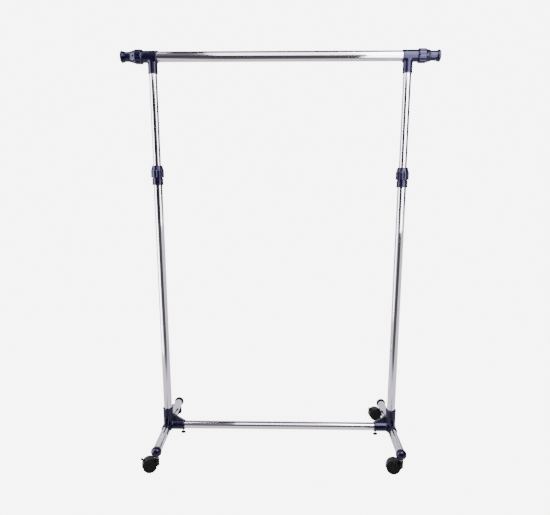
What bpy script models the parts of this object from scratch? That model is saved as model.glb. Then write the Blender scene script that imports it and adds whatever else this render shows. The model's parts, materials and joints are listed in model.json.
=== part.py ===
"""Rolling clothes rack: telescopic uprights, extending top rail, twin-wheel swivel casters.

Metres, +Z up.  The origin is on the floor, midway between the uprights and midway
between the front and rear casters.  +X is to the rack's right, +Y to its back.
Round pieces are turned about their own Z axis and then laid along the axis they need,
with a flat of their faceted outline facing each of the world directions.
"""
import math

import bmesh
import bpy
from mathutils import Matrix, Vector

# Driving dimensions -------------------------------------------------------------
UPRIGHT_SPACING = 0.704       # between the axes of the two uprights
FOOT_SPAN = 0.340             # between the stem axes of a front and a rear caster
RAIL_AXIS_HEIGHT = 1.160      # top rail above the floor, at its rest height

RAIL_OD = 0.028
RAIL_WALL = 0.0010
ROD_PLAY = 0.0020             # gap round the extension rods that slide in the rail
ROD_WALL = 0.0010
ROD_LENGTH = 0.370
LOWER_OD = 0.025
LOWER_WALL = 0.0010
UPPER_PLAY = 0.0005           # gap round the upper uprights inside the lower ones
UPPER_WALL = 0.0010
UPPER_LENGTH = 0.800
FOOT_OD = 0.025
FOOT_WALL = 0.0012
CROSSBAR_OD = 0.025
CROSSBAR_WALL = 0.0010

TOUCH = 0.0003                # gap between faces that seat on each other
RUN = 0.0005                  # gap beside a face that turns

# Base connectors: a post socket on a saddle, with a socket for the crossbar
SOCKET_WALL = 0.0029
POST_SOCKET_TOP = 0.058       # rim above the foot tube's axis
SADDLE_WALL = 0.0032
SADDLE_LENGTH = 0.076
SADDLE_WRAP_DEG = 200.0       # how far round the foot tube the saddle reaches
CROSS_SOCKET_WALL = 0.0023
CROSS_SOCKET_REACH = 0.052    # end of the crossbar socket, from the upright's axis
SOCKET_FLOOR = 0.0015
GUSSET_THICKNESS = 0.012
GUSSET_RISE = 0.037           # top of the gusset above the foot tube's axis
FIN_THICKNESS = 0.0026
FIN_OFFSET = 0.0052           # each fin beside the middle of the socket
FIN_RISE = 0.034
FIN_REACH = 0.0150            # how far a fin runs out from the socket

# Wing screws that clamp the crossbar
WING_SCREW_INSET = 0.0060     # from the crossbar socket's end
SCREW_RADIUS = 0.0020
SCREW_DROP = 0.0065           # bare shank below the socket
WING_HUB_RADIUS = 0.0028
WING_HEIGHT = 0.0080
WING_OFFSET = 0.0036
WING_RADIUS = 0.0040
WING_THICKNESS = 0.0032

# Wing screws on the rear half of each foot tube
FOOT_SCREW_BACK = 0.072       # behind the upright's axis
FOOT_SCREW_LEAN_DEG = 40.0    # from upright, towards the middle of the rack
FOOT_SCREW_RISE = 0.0040      # bare shank above the tube
FOOT_SCREW_SHANK_RADIUS = 0.0018
FOOT_SCREW_SHANK = 0.0060

# Ball caps on the foot tubes
BALL_PROUD = 0.0030           # ball's surface outside the foot tube's
BALL_TUBE_STOP = 0.0050       # tube end, short of the ball's centre
BALL_SPIGOT = 0.0200
STEM_HOLE_TOP = 0.0040        # above the ball's centre

# Casters
WHEEL_RADIUS = 0.0200
CASTER_RISE = 2.125           # floor to the ball's underside, as a share of the wheel's radius
WHEEL_WIDTH = 0.0090
WHEEL_EDGE = 0.0012
WHEEL_RIM = 0.0035            # width of the raised rim on the outer face
WHEEL_DISH = 0.0010
WHEEL_END_WALL = 0.0015
CASTER_TRAIL = 0.0200
AXLE_RADIUS = 0.0020
WEB_HALF = 0.0056             # half the thickness of the web between the wheels
WEB_HUB_RADIUS = 0.0070
HOOD_GAP = 0.0009             # between tread and hood
HOOD_WALL = 0.0017
HOOD_HALF = 0.0150
HOOD_WRAP_DEG = 204.0
BOSS_RADIUS = 0.0075
STEM_RADIUS = 0.0035
STEM_FLANGE_RADIUS = 0.0062
STEM_FLANGE = 0.0015
STEM_DEPTH = 0.0140           # stem below the top of the hood's boss
HEADINGS_DEG = {              # where each caster trails at rest, from +X
    "front_left": 195.0,
    "front_right": 170.0,
    "rear_left": 165.0,
    "rear_right": 185.0,
}
BRAKED = ("front_left", "rear_right")
BRAKE_TILT_DEG = 44.0         # above the trail direction
BRAKE_PIVOT_DEPTH = 0.0061    # trunnions, inside the hood's outer face
BRAKE_PROUD = 0.0102          # lever's end, outside the hood's outer face
BRAKE_TAIL = 0.0025
BRAKE_HALF_WIDTH = 0.0032
BRAKE_THICKNESS = 0.0032
BRAKE_PAD_LENGTH = 0.0060
BRAKE_PAD_THICKNESS = 0.0056
BRAKE_TRUNNION_RADIUS = 0.0014
BRAKE_SLOT = 0.0092           # slot in the hood, along the lever's swing

# Twist locks on the uprights
COLLAR_HEIGHT = {"left": 0.811, "right": 0.805}
COLLAR_BASE = 0.0180
COLLAR_WALL = 0.00345
COLLAR_NECK = 0.0030
COLLAR_NECK_WALL = 0.0018
COLLAR_TUBE_DEPTH = 0.0140    # how far the lower tube enters
NOSE_LENGTH = 0.0270
NOSE_WALL = 0.0019
FINGER_SLIT = 0.0014
FINGER_LENGTH = 0.0170
HEIGHT_NUT_LENGTH = 0.0345
HEIGHT_NUT_WALL = 0.0056      # outside the collar's nose
HEIGHT_NUT_TOP_WALL = 0.0040  # outside the upper upright
HEIGHT_NUT_LOBED = 0.0210     # length that keeps its full radius
NUT_LOBES = 8
NUT_FLUTE = 0.0016
GUIDE_FLANGE = 0.0040
GUIDE_SPIGOT = 0.0120

# Top tees and rail nuts
TEE_INWARD = 0.0155           # sleeve's ends, from the upright's axis
TEE_OUTWARD = 0.0266
TEE_SLEEVE_WALL = 0.0017
TEE_LIP = 0.0020
TEE_LIP_RISE = 0.0006
TEE_POST_WALL = 0.0019
TEE_POST_DROP = 0.0450        # socket's lower end below the rail's axis
TEE_POST_ROOF = 0.0022        # between the rail and the top of the post's socket
RAIL_NOSE = 0.0260
RAIL_NOSE_WALL = 0.0033
RAIL_NUT_LENGTH = 0.0333
RAIL_NUT_WALL = 0.0054        # outside the tee's nose
RAIL_NUT_TIP_WALL = 0.0038    # outside the rod
RAIL_NUT_LOBED = 0.0190
CAP_LENGTH = 0.0262
CAP_WALL = 0.0021
CAP_FLARE = 0.0026            # flange's rim, outside the waist
CAP_FLANGE = 0.0090
CAP_END_WALL = 0.0033
CAP_EDGE = 0.0012

# Facets of round pieces
SIDES = 20
NUT_SIDES = 32
SMALL_SIDES = 12

# Derived sizes --------------------------------------------------------------------
HALF_SPACING = UPRIGHT_SPACING / 2
HALF_SPAN = FOOT_SPAN / 2
FLAT = math.cos(math.pi / SIDES)          # a flat's distance, as a share of the radius
AXLE_HEIGHT = WHEEL_RADIUS * FLAT
WHEEL_OUTER = HOOD_HALF + TOUCH
WHEEL_INNER = WHEEL_OUTER - WHEEL_WIDTH
HOOD_INNER_RADIUS = WHEEL_RADIUS + HOOD_GAP
HOOD_OUTER_RADIUS = HOOD_INNER_RADIUS + HOOD_WALL
BRAKE_PIVOT = HOOD_OUTER_RADIUS - BRAKE_PIVOT_DEPTH
BRAKE_REACH = HOOD_OUTER_RADIUS + BRAKE_PROUD
BALL_RADIUS = FOOT_OD / 2 + BALL_PROUD
FOOT_AXIS_HEIGHT = CASTER_RISE * WHEEL_RADIUS + BALL_RADIUS
STEM_FLANGE_TOP = FOOT_AXIS_HEIGHT - BALL_RADIUS - TOUCH
BOSS_TOP = STEM_FLANGE_TOP - STEM_FLANGE - RUN
POST_FLOOR = FOOT_OD / 2 + TOUCH + SADDLE_WALL + SOCKET_FLOOR
SADDLE_RADIUS = FOOT_OD / 2 + TOUCH + SADDLE_WALL
CROSS_FLOOR = SADDLE_RADIUS + SOCKET_FLOOR
CROSS_SOCKET_RADIUS = CROSSBAR_OD / 2 + TOUCH + CROSS_SOCKET_WALL
POST_SOCKET_RADIUS = LOWER_OD / 2 + TOUCH + SOCKET_WALL
UPPER_OD = LOWER_OD - 2 * (LOWER_WALL + UPPER_PLAY)
COLLAR_RADIUS = LOWER_OD / 2 + TOUCH + COLLAR_WALL
COLLAR_NECK_RADIUS = LOWER_OD / 2 + TOUCH + COLLAR_NECK_WALL
NOSE_RADIUS = UPPER_OD / 2 + TOUCH + NOSE_WALL
HEIGHT_NUT_RADIUS = NOSE_RADIUS + HEIGHT_NUT_WALL
HEIGHT_NUT_TOP_RADIUS = UPPER_OD / 2 + HEIGHT_NUT_TOP_WALL
ROD_OD = RAIL_OD - 2 * (RAIL_WALL + ROD_PLAY)
RAIL_NOSE_RADIUS = ROD_OD / 2 + TOUCH + RAIL_NOSE_WALL
RAIL_NUT_RADIUS = RAIL_NOSE_RADIUS + RAIL_NUT_WALL
RAIL_NUT_TIP_RADIUS = ROD_OD / 2 + RAIL_NUT_TIP_WALL
CAP_WAIST_RADIUS = ROD_OD / 2 + TOUCH + CAP_WALL
CAP_FLANGE_RADIUS = CAP_WAIST_RADIUS + CAP_FLARE
TEE_INNER = HALF_SPACING - TEE_INWARD
TEE_OUTER = HALF_SPACING + TEE_OUTWARD
TEE_POST_FLOOR = RAIL_OD / 2 + TOUCH + TEE_POST_ROOF
SLEEVE_RADIUS = RAIL_OD / 2 + TOUCH + TEE_SLEEVE_WALL
TEE_POST_RADIUS = UPPER_OD / 2 + TOUCH + TEE_POST_WALL
RAIL_HALF = TEE_OUTER - TOUCH
CAP_INNER = TEE_OUTER + RUN + RAIL_NUT_LENGTH + RUN
CAP_OUTER = CAP_INNER + CAP_LENGTH
ROD_OUTER = CAP_OUTER - CAP_END_WALL - TOUCH
SIGN = {"left": -1.0, "right": 1.0}
FACING = {"left": 0.0, "right": math.pi}  # pieces are drawn for the left side
ALONG_X = (0.0, math.pi / 2, 0.0)
ALONG_Y = (-math.pi / 2, 0.0, 0.0)


def clear_scene():
    """Remove whatever the file holds."""
    for item in list(bpy.data.objects):
        bpy.data.objects.remove(item, do_unlink=True)


def finish(name, colour, metallic, roughness):
    """Make one plain surface finish."""
    material = bpy.data.materials.new(name)
    material.use_nodes = True
    surface = material.node_tree.nodes["Principled BSDF"]
    surface.inputs["Base Color"].default_value = (*colour, 1.0)
    surface.inputs["Metallic"].default_value = metallic
    surface.inputs["Roughness"].default_value = roughness
    material.diffuse_color = (*colour, 1.0)
    return material


# Mesh helpers -----------------------------------------------------------------------
def mesh_from(shape, name):
    """Close a bmesh into a mesh, with its faces out and its round sides smooth."""
    bmesh.ops.remove_doubles(shape, verts=shape.verts, dist=0.000001)
    bmesh.ops.recalc_face_normals(shape, faces=shape.faces)
    mesh = bpy.data.meshes.new(name)
    shape.to_mesh(mesh)
    shape.free()
    mesh.shade_smooth()
    mesh.set_sharp_from_angle(angle=math.radians(35.0))
    return mesh


def turned(name, outline, sides=SIDES, sweep=2 * math.pi, start=None):
    """Turn an outline of (radius, height) points about Z.

    An outline that starts and ends on the axis is left open there; any other one is
    closed.  A part turn gets its two end faces.
    """
    shape = bmesh.new()
    if start is None:
        start = -math.pi / sides
    on_axis = outline[0][0] == 0.0 and outline[-1][0] == 0.0
    heading = Vector((math.cos(start), math.sin(start), 0.0))
    points = [shape.verts.new(heading * radius + Vector((0, 0, height))) for radius, height in outline]
    pairs = list(zip(points, points[1:]))
    if not on_axis:
        pairs.append((points[-1], points[0]))
    edges = [shape.edges.new(pair) for pair in pairs]
    whole = math.isclose(sweep, 2 * math.pi)
    if not whole:
        shape.faces.new(points)
    turned_parts = bmesh.ops.spin(
        shape,
        geom=points + edges,
        cent=(0, 0, 0),
        axis=(0, 0, 1),
        angle=sweep,
        steps=sides,
        use_merge=False,
        use_duplicate=False,
    )
    if not whole:
        last = [item for item in turned_parts["geom_last"] if isinstance(item, bmesh.types.BMEdge)]
        bmesh.ops.contextual_create(shape, geom=last)
    return mesh_from(shape, name)


def tube_outline(radius, wall, low, high):
    """Outline of a plain tube's wall."""
    return [(radius - wall, low), (radius, low), (radius, high), (radius - wall, high)]


def rod_mesh(name, radius, low, high, sides=SIDES):
    """A solid round bar along Z."""
    return turned(name, [(0.0, low), (radius, low), (radius, high), (0.0, high)], sides)


def prism(name, outline, thickness):
    """Extrude an outline of (x, z) points along Y, centred on Y = 0."""
    shape = bmesh.new()
    face = shape.faces.new([shape.verts.new((x, -thickness / 2, z)) for x, z in outline])
    grown = bmesh.ops.extrude_face_region(shape, geom=[face])
    moved = [item for item in grown["geom"] if isinstance(item, bmesh.types.BMVert)]
    bmesh.ops.translate(shape, verts=moved, vec=(0, thickness, 0))
    return mesh_from(shape, name)


def box_mesh(name, low, high):
    """A box between two corners."""
    shape = bmesh.new()
    bmesh.ops.create_cube(shape, size=1.0)
    size = Vector(high) - Vector(low)
    middle = (Vector(high) + Vector(low)) / 2
    bmesh.ops.scale(shape, verts=shape.verts, vec=size)
    bmesh.ops.translate(shape, verts=shape.verts, vec=middle)
    return mesh_from(shape, name)


def laid(mesh, rotation=(0.0, 0.0, 0.0), shift=(0.0, 0.0, 0.0)):
    """Turn and move a mesh's own points."""
    placing = Matrix.Translation(shift)
    for angle, axis in zip(rotation, "XYZ"):
        placing = placing @ Matrix.Rotation(angle, 4, axis)
    mesh.transform(placing)
    return mesh


def combined(name, base, operations):
    """Work Boolean operations into one mesh: (operation, mesh) pairs, in order."""
    body = bpy.data.objects.new(name, base)
    bpy.context.collection.objects.link(body)
    tools = []
    for operation, mesh in operations:
        tool = bpy.data.objects.new(name + "_tool", mesh)
        tool.hide_render = True
        tool.display_type = "WIRE"
        bpy.context.collection.objects.link(tool)
        tools.append(tool)
        change = body.modifiers.new(operation.title(), "BOOLEAN")
        change.operation = operation
        change.object = tool
        change.solver = "EXACT"
    bpy.context.view_layer.update()
    view = bpy.context.evaluated_depsgraph_get()
    result = bpy.data.meshes.new_from_object(body.evaluated_get(view), depsgraph=view)
    for item in [body] + tools:
        bpy.data.objects.remove(item, do_unlink=True)
    result.name = name
    result.shade_smooth()
    result.set_sharp_from_angle(angle=math.radians(35.0))
    return result


def add(name, mesh, material, location=(0, 0, 0), rotation=(0, 0, 0), parent=None):
    """Put one named piece in the scene."""
    piece = bpy.data.objects.new(name, mesh)
    bpy.context.collection.objects.link(piece)
    if not mesh.materials:
        mesh.materials.append(material)
    piece.location = location
    piece.rotation_euler = rotation
    piece.parent = parent
    return piece


def marker(name, location, turn=0.0, parent=None):
    """An empty on a joint's axis or at a group's reference point."""
    empty = bpy.data.objects.new(name, None)
    empty.empty_display_size = 0.02
    bpy.context.collection.objects.link(empty)
    empty.location = location
    empty.rotation_euler = (0.0, 0.0, turn)
    empty.parent = parent
    return empty


def seat_radius(radius, gap, sides=SIDES):
    """Corner radius of a faceted hole whose flats clear a round piece that turns in it."""
    return (radius + gap) / math.cos(math.pi / sides)


# Base -------------------------------------------------------------------------------
def base_connector_mesh():
    """Left connector, about the point where the upright's axis meets the foot tube's."""
    post = rod_mesh("post_socket", POST_SOCKET_RADIUS, 0.0, POST_SOCKET_TOP)
    wrap = math.radians(SADDLE_WRAP_DEG)
    saddle = turned(
        "saddle",
        tube_outline(SADDLE_RADIUS, SADDLE_WALL, -SADDLE_LENGTH / 2, SADDLE_LENGTH / 2),
        sides=SIDES // 2,
        sweep=wrap,
        start=math.pi / 2 - wrap / 2,
    )
    laid(saddle, (math.pi / 2, 0.0, 0.0))
    cross_start = SADDLE_RADIUS - SADDLE_WALL
    cross = rod_mesh("cross_socket", CROSS_SOCKET_RADIUS, cross_start, CROSS_SOCKET_REACH)
    laid(cross, ALONG_X)
    gusset = prism("gusset", [
        (0.0, 0.0),
        (CROSS_SOCKET_REACH, 0.0),
        (CROSS_SOCKET_REACH, CROSS_SOCKET_RADIUS),
        (POST_SOCKET_RADIUS, GUSSET_RISE),
        (0.0, GUSSET_RISE),
    ], GUSSET_THICKNESS)
    steps = [("UNION", saddle), ("UNION", cross), ("UNION", gusset)]
    for end in (-1, 1):
        for side in (-1, 1):
            fin = prism("fin", [
                (0.0, 0.0),
                (end * (POST_SOCKET_RADIUS + FIN_REACH), SADDLE_RADIUS - SADDLE_WALL / 2),
                (end * (POST_SOCKET_RADIUS - TOUCH), FIN_RISE),
                (0.0, FIN_RISE),
            ], FIN_THICKNESS)
            laid(fin, (0.0, 0.0, math.pi / 2), (side * FIN_OFFSET, 0.0, 0.0))
            steps.append(("UNION", fin))
    tube_way = rod_mesh("tube_way", FOOT_OD / 2 + TOUCH, -SADDLE_LENGTH, SADDLE_LENGTH)
    laid(tube_way, ALONG_Y)
    post_bore = rod_mesh("post_bore", LOWER_OD / 2 + TOUCH, POST_FLOOR, POST_SOCKET_TOP * 2)
    cross_bore = rod_mesh("cross_bore", CROSSBAR_OD / 2 + TOUCH, CROSS_FLOOR, CROSS_SOCKET_REACH * 2)
    laid(cross_bore, ALONG_X)
    screw_hole = rod_mesh(
        "screw_hole",
        seat_radius(SCREW_RADIUS, TOUCH, SMALL_SIDES),
        -CROSS_SOCKET_RADIUS * 2,
        0.0,
        SMALL_SIDES,
    )
    laid(screw_hole, shift=(CROSS_SOCKET_REACH - WING_SCREW_INSET, 0.0, 0.0))
    for cutter in (tube_way, post_bore, cross_bore, screw_hole):
        steps.append(("DIFFERENCE", cutter))
    return combined("base_connector", post, steps)


def winged_mesh(name, tip, neck, shank_radius):
    """Wing screw along Z: a bare shank from its tip to the neck, then a hub with two ears along X."""
    away = math.copysign(1.0, neck - tip)
    end = neck + away * WING_HEIGHT
    outline = [
        (0.0, tip),
        (shank_radius, tip),
        (shank_radius, neck),
        (WING_HUB_RADIUS, neck),
        (WING_HUB_RADIUS, end),
        (0.0, end),
    ]
    if away < 0:
        outline.reverse()
    shank = turned(name, outline, SMALL_SIDES)
    steps = []
    for side in (-1, 1):
        wing = rod_mesh("wing", WING_RADIUS, -WING_THICKNESS / 2, WING_THICKNESS / 2, SMALL_SIDES)
        laid(wing, ALONG_Y, (side * WING_OFFSET, 0.0, end - away * WING_RADIUS))
        steps.append(("UNION", wing))
    return combined(name, shank, steps)


def wing_screw_mesh():
    """Crossbar's wing screw, its tip just under the crossbar and its origin on the tube's axis."""
    tip = -CROSSBAR_OD / 2 - TOUCH
    return winged_mesh("wing_screw", tip, -CROSS_SOCKET_RADIUS - SCREW_DROP, SCREW_RADIUS)


def foot_screw_mesh():
    """Foot tube's wing screw, with its origin on the tube's surface and its ears along the tube."""
    screw = winged_mesh("foot_screw", -FOOT_SCREW_SHANK, FOOT_SCREW_RISE, FOOT_SCREW_SHANK_RADIUS)
    laid(screw, (0.0, 0.0, math.pi / 2))
    return screw


def screw_lean(side):
    """Turn about Y that leans the screw on this side towards the middle of the rack."""
    return -SIGN[side] * math.radians(FOOT_SCREW_LEAN_DEG)


def foot_tube_mesh(side):
    """Foot tube along Y with the hole for its screw."""
    half = HALF_SPAN - BALL_TUBE_STOP - TOUCH
    tube = turned("foot_tube", tube_outline(FOOT_OD / 2, FOOT_WALL, -half, half))
    laid(tube, ALONG_Y)
    hole = rod_mesh(
        "foot_screw_hole",
        seat_radius(FOOT_SCREW_SHANK_RADIUS, TOUCH, SMALL_SIDES),
        0.0,
        FOOT_OD,
        SMALL_SIDES,
    )
    laid(hole, (0.0, screw_lean(side), 0.0), (0.0, FOOT_SCREW_BACK, 0.0))
    return combined("foot_tube_" + side, tube, [("DIFFERENCE", hole)])


def ball_cap_mesh():
    """Ball cap about the ball's centre, with its spigot towards +Z and the stem hole towards +X."""
    groove = FOOT_OD / 2 + TOUCH
    mouth = math.acos(groove / BALL_RADIUS)
    arc_steps = 7
    first = -math.pi / 2
    arc = []
    for step in range(arc_steps + 1):
        angle = first + (mouth - first) * step / arc_steps
        arc.append((BALL_RADIUS * math.cos(angle) if step else 0.0, BALL_RADIUS * math.sin(angle)))
    spigot = FOOT_OD / 2 - FOOT_WALL - TOUCH
    outline = arc + [
        (groove, BALL_TUBE_STOP),
        (spigot, BALL_TUBE_STOP),
        (spigot, BALL_TUBE_STOP + BALL_SPIGOT),
        (0.0, BALL_TUBE_STOP + BALL_SPIGOT),
    ]
    ball = turned("ball_cap", outline)
    hole = rod_mesh("stem_hole", STEM_RADIUS + TOUCH, -STEM_HOLE_TOP, BALL_RADIUS * 2, SMALL_SIDES)
    laid(hole, ALONG_X)
    return combined("ball_cap", ball, [("DIFFERENCE", hole)])


def build_base(finishes):
    """Connectors, crossbar, feet, lower uprights and collars."""
    navy = finishes["navy_plastic"]
    chrome = finishes["chromed_tube"]
    connector = base_connector_mesh()
    wing_screw = wing_screw_mesh()
    foot_screw = foot_screw_mesh()
    ball = ball_cap_mesh()
    for side in ("left", "right"):
        x = SIGN[side] * HALF_SPACING
        facing = FACING[side]
        corner = marker("corner_" + side, (x, 0, FOOT_AXIS_HEIGHT), facing)
        add("base_connector_" + side, connector, navy, parent=corner)
        screw_place = (CROSS_SOCKET_REACH - WING_SCREW_INSET, 0, 0)
        add("wing_screw_" + side, wing_screw, finishes["black_plastic"], screw_place, parent=corner)
        add("foot_tube_" + side, foot_tube_mesh(side), chrome, (x, 0, FOOT_AXIS_HEIGHT))
        lean = screw_lean(side)
        out = Vector((math.sin(lean), 0.0, math.cos(lean))) * (FOOT_OD / 2)
        place = Vector((x, FOOT_SCREW_BACK, FOOT_AXIS_HEIGHT)) + out
        add("foot_screw_" + side, foot_screw, finishes["black_plastic"], place, (0, lean, 0))
        for end, y_sign in (("front", -1.0), ("rear", 1.0)):
            turn = -y_sign * math.pi / 2
            # the spigot faces the middle of the foot and the stem hole faces the floor
            rotation = Matrix.Rotation(turn, 4, "Z") @ Matrix.Rotation(math.pi / 2, 4, "Y")
            cap = add("foot_cap_" + end + "_" + side, ball, navy, parent=None)
            cap.matrix_world = Matrix.Translation((x, y_sign * HALF_SPAN, FOOT_AXIS_HEIGHT)) @ rotation
        top = COLLAR_HEIGHT[side] + COLLAR_TUBE_DEPTH
        low = FOOT_AXIS_HEIGHT + POST_FLOOR + TOUCH
        tube = turned("lower_upright", tube_outline(LOWER_OD / 2, LOWER_WALL, low, top))
        add("lower_upright_" + side, tube, chrome, (x, 0, 0))
    bar_half = HALF_SPACING - CROSS_FLOOR - TOUCH
    bar = turned("crossbar", tube_outline(CROSSBAR_OD / 2, CROSSBAR_WALL, -bar_half, bar_half))
    add("crossbar", bar, chrome, (0, 0, FOOT_AXIS_HEIGHT), ALONG_X)


# Twist locks --------------------------------------------------------------------------
def slits(length, top, reach):
    """Two crossed cutters that split a nose into four fingers, from its top down."""
    half = FINGER_SLIT / 2
    return [
        ("DIFFERENCE", box_mesh("slit", (-reach, -half, top - length), (reach, half, top * 2))),
        ("DIFFERENCE", box_mesh("slit", (-half, -reach, top - length), (half, reach, top * 2))),
    ]


def collar_mesh():
    """Collar about the upright's axis, with its lower end at Z = 0."""
    neck_top = COLLAR_BASE + COLLAR_NECK
    top = neck_top + NOSE_LENGTH
    bore = UPPER_OD / 2 + TOUCH
    seat = LOWER_OD / 2 + TOUCH
    body = turned("height_collar", [
        (seat, 0.0),
        (COLLAR_RADIUS, 0.0),
        (COLLAR_RADIUS, COLLAR_BASE),
        (COLLAR_NECK_RADIUS, COLLAR_BASE),
        (COLLAR_NECK_RADIUS, neck_top - RUN),
        (NOSE_RADIUS, neck_top - RUN),
        (NOSE_RADIUS, top),
        (bore, top),
        (bore, COLLAR_TUBE_DEPTH + TOUCH),
        (seat, COLLAR_TUBE_DEPTH + TOUCH),
    ])
    return combined("height_collar", body, slits(FINGER_LENGTH, top, COLLAR_RADIUS * 2))


def nut_mesh(name, length, radius, tip_radius, lobed, nose_radius, nose_length, tube_radius):
    """Fluted twist nut about Z, from Z = 0 up, tapering above its lobed length."""
    bore = seat_radius(nose_radius, RUN, NUT_SIDES)
    way = seat_radius(tube_radius, RUN, NUT_SIDES)
    shoulder = nose_length + 2 * RUN
    rings = [
        (radius, 0.0, NUT_FLUTE),
        (radius, lobed, NUT_FLUTE),
        (tip_radius, length, 0.0),
        (way, length, 0.0),
        (way, shoulder + (bore - way), 0.0),
        (bore, shoulder, 0.0),
        (bore, 0.0, 0.0),
    ]
    shape = bmesh.new()
    loops = []
    for ring_radius, height, flute in rings:
        loop = []
        for step in range(NUT_SIDES):
            angle = 2 * math.pi * step / NUT_SIDES
            dip = flute * max(0.0, math.cos(NUT_LOBES * angle)) ** 2
            reach = ring_radius - dip
            loop.append(shape.verts.new((reach * math.cos(angle), reach * math.sin(angle), height)))
        loops.append(loop)
    for lower, upper in zip(loops, loops[1:] + loops[:1]):
        for step in range(NUT_SIDES):
            after = (step + 1) % NUT_SIDES
            shape.faces.new((lower[step], lower[after], upper[after], upper[step]))
    return mesh_from(shape, name)


def plug_mesh(name, flange_radius, spigot_radius):
    """End plug of an inner tube: the flange below Z = 0, the spigot above it in the tube."""
    return turned(name, [
        (0.0, -GUIDE_FLANGE),
        (flange_radius, -GUIDE_FLANGE),
        (flange_radius, -TOUCH),
        (spigot_radius, -TOUCH),
        (spigot_radius, GUIDE_SPIGOT),
        (0.0, GUIDE_SPIGOT),
    ])


def build_locks(finishes):
    """Collars on the lower uprights and the nuts that turn on them."""
    navy = finishes["navy_plastic"]
    collar = collar_mesh()
    nut_low = COLLAR_BASE + COLLAR_NECK
    nut = nut_mesh(
        "height_nut",
        HEIGHT_NUT_LENGTH,
        HEIGHT_NUT_RADIUS,
        HEIGHT_NUT_TOP_RADIUS,
        HEIGHT_NUT_LOBED,
        NOSE_RADIUS,
        NOSE_LENGTH,
        UPPER_OD / 2,
    )
    for side in ("left", "right"):
        x = SIGN[side] * HALF_SPACING
        low = COLLAR_HEIGHT[side]
        add("height_collar_" + side, collar, navy, (x, 0, low))
        add("height_nut_" + side, nut, navy, (x, 0, low + nut_low))


# Top frame ----------------------------------------------------------------------------
def tee_mesh():
    """Left tee about the point where the upright's axis meets the rail's, sleeve along X."""
    inner = TEE_INWARD
    outer = -TEE_OUTWARD
    nose_end = outer - RAIL_NOSE
    bore = RAIL_OD / 2 + TOUCH
    way = ROD_OD / 2 + TOUCH
    lip = SLEEVE_RADIUS + TEE_LIP_RISE
    sleeve = turned("top_tee", [
        (way, nose_end),
        (RAIL_NOSE_RADIUS, nose_end),
        (RAIL_NOSE_RADIUS, outer - TEE_LIP),
        (RAIL_NOSE_RADIUS, outer),
        (lip, outer),
        (lip, outer + TEE_LIP),
        (SLEEVE_RADIUS, outer + TEE_LIP),
        (SLEEVE_RADIUS, inner - TEE_LIP),
        (lip, inner - TEE_LIP),
        (lip, inner),
        (bore, inner),
        (bore, outer),
        (way, outer),
    ])
    laid(sleeve, ALONG_X)
    post = rod_mesh("tee_post", TEE_POST_RADIUS, -TEE_POST_DROP, -bore - TOUCH)
    post_bore = rod_mesh("tee_post_bore", UPPER_OD / 2 + TOUCH, -TEE_POST_DROP * 2, -TEE_POST_FLOOR)
    rail_bore = rod_mesh("rail_bore", bore, outer, inner * 2)
    laid(rail_bore, ALONG_X)
    steps = [("UNION", post), ("DIFFERENCE", post_bore), ("DIFFERENCE", rail_bore)]
    half = FINGER_SLIT / 2
    reach = RAIL_NOSE_RADIUS * 2
    for low, high in (((-half, -reach), (half, reach)), ((-reach, -half), (reach, half))):
        slit = box_mesh(
            "slit",
            (nose_end * 2, low[0], low[1]),
            (nose_end + FINGER_LENGTH, high[0], high[1]),
        )
        steps.append(("DIFFERENCE", slit))
    return combined("top_tee", sleeve, steps)


def cap_mesh():
    """Left end cap along X, about the middle of the rack's length, spool-shaped."""
    flange_low = CAP_OUTER - CAP_FLANGE
    seat = ROD_OD / 2 + TOUCH
    outline = [
        (0.0, CAP_OUTER),
        (CAP_FLANGE_RADIUS - CAP_EDGE, CAP_OUTER),
        (CAP_FLANGE_RADIUS, CAP_OUTER - CAP_EDGE),
        (CAP_FLANGE_RADIUS, flange_low + CAP_FLARE),
        (CAP_WAIST_RADIUS, flange_low),
        (CAP_WAIST_RADIUS, CAP_INNER),
        (seat, CAP_INNER),
        (seat, CAP_OUTER - CAP_END_WALL),
        (0.0, CAP_OUTER - CAP_END_WALL),
    ]
    cap = turned("rod_cap", outline)
    return laid(cap, (0.0, -math.pi / 2, 0.0))


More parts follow.
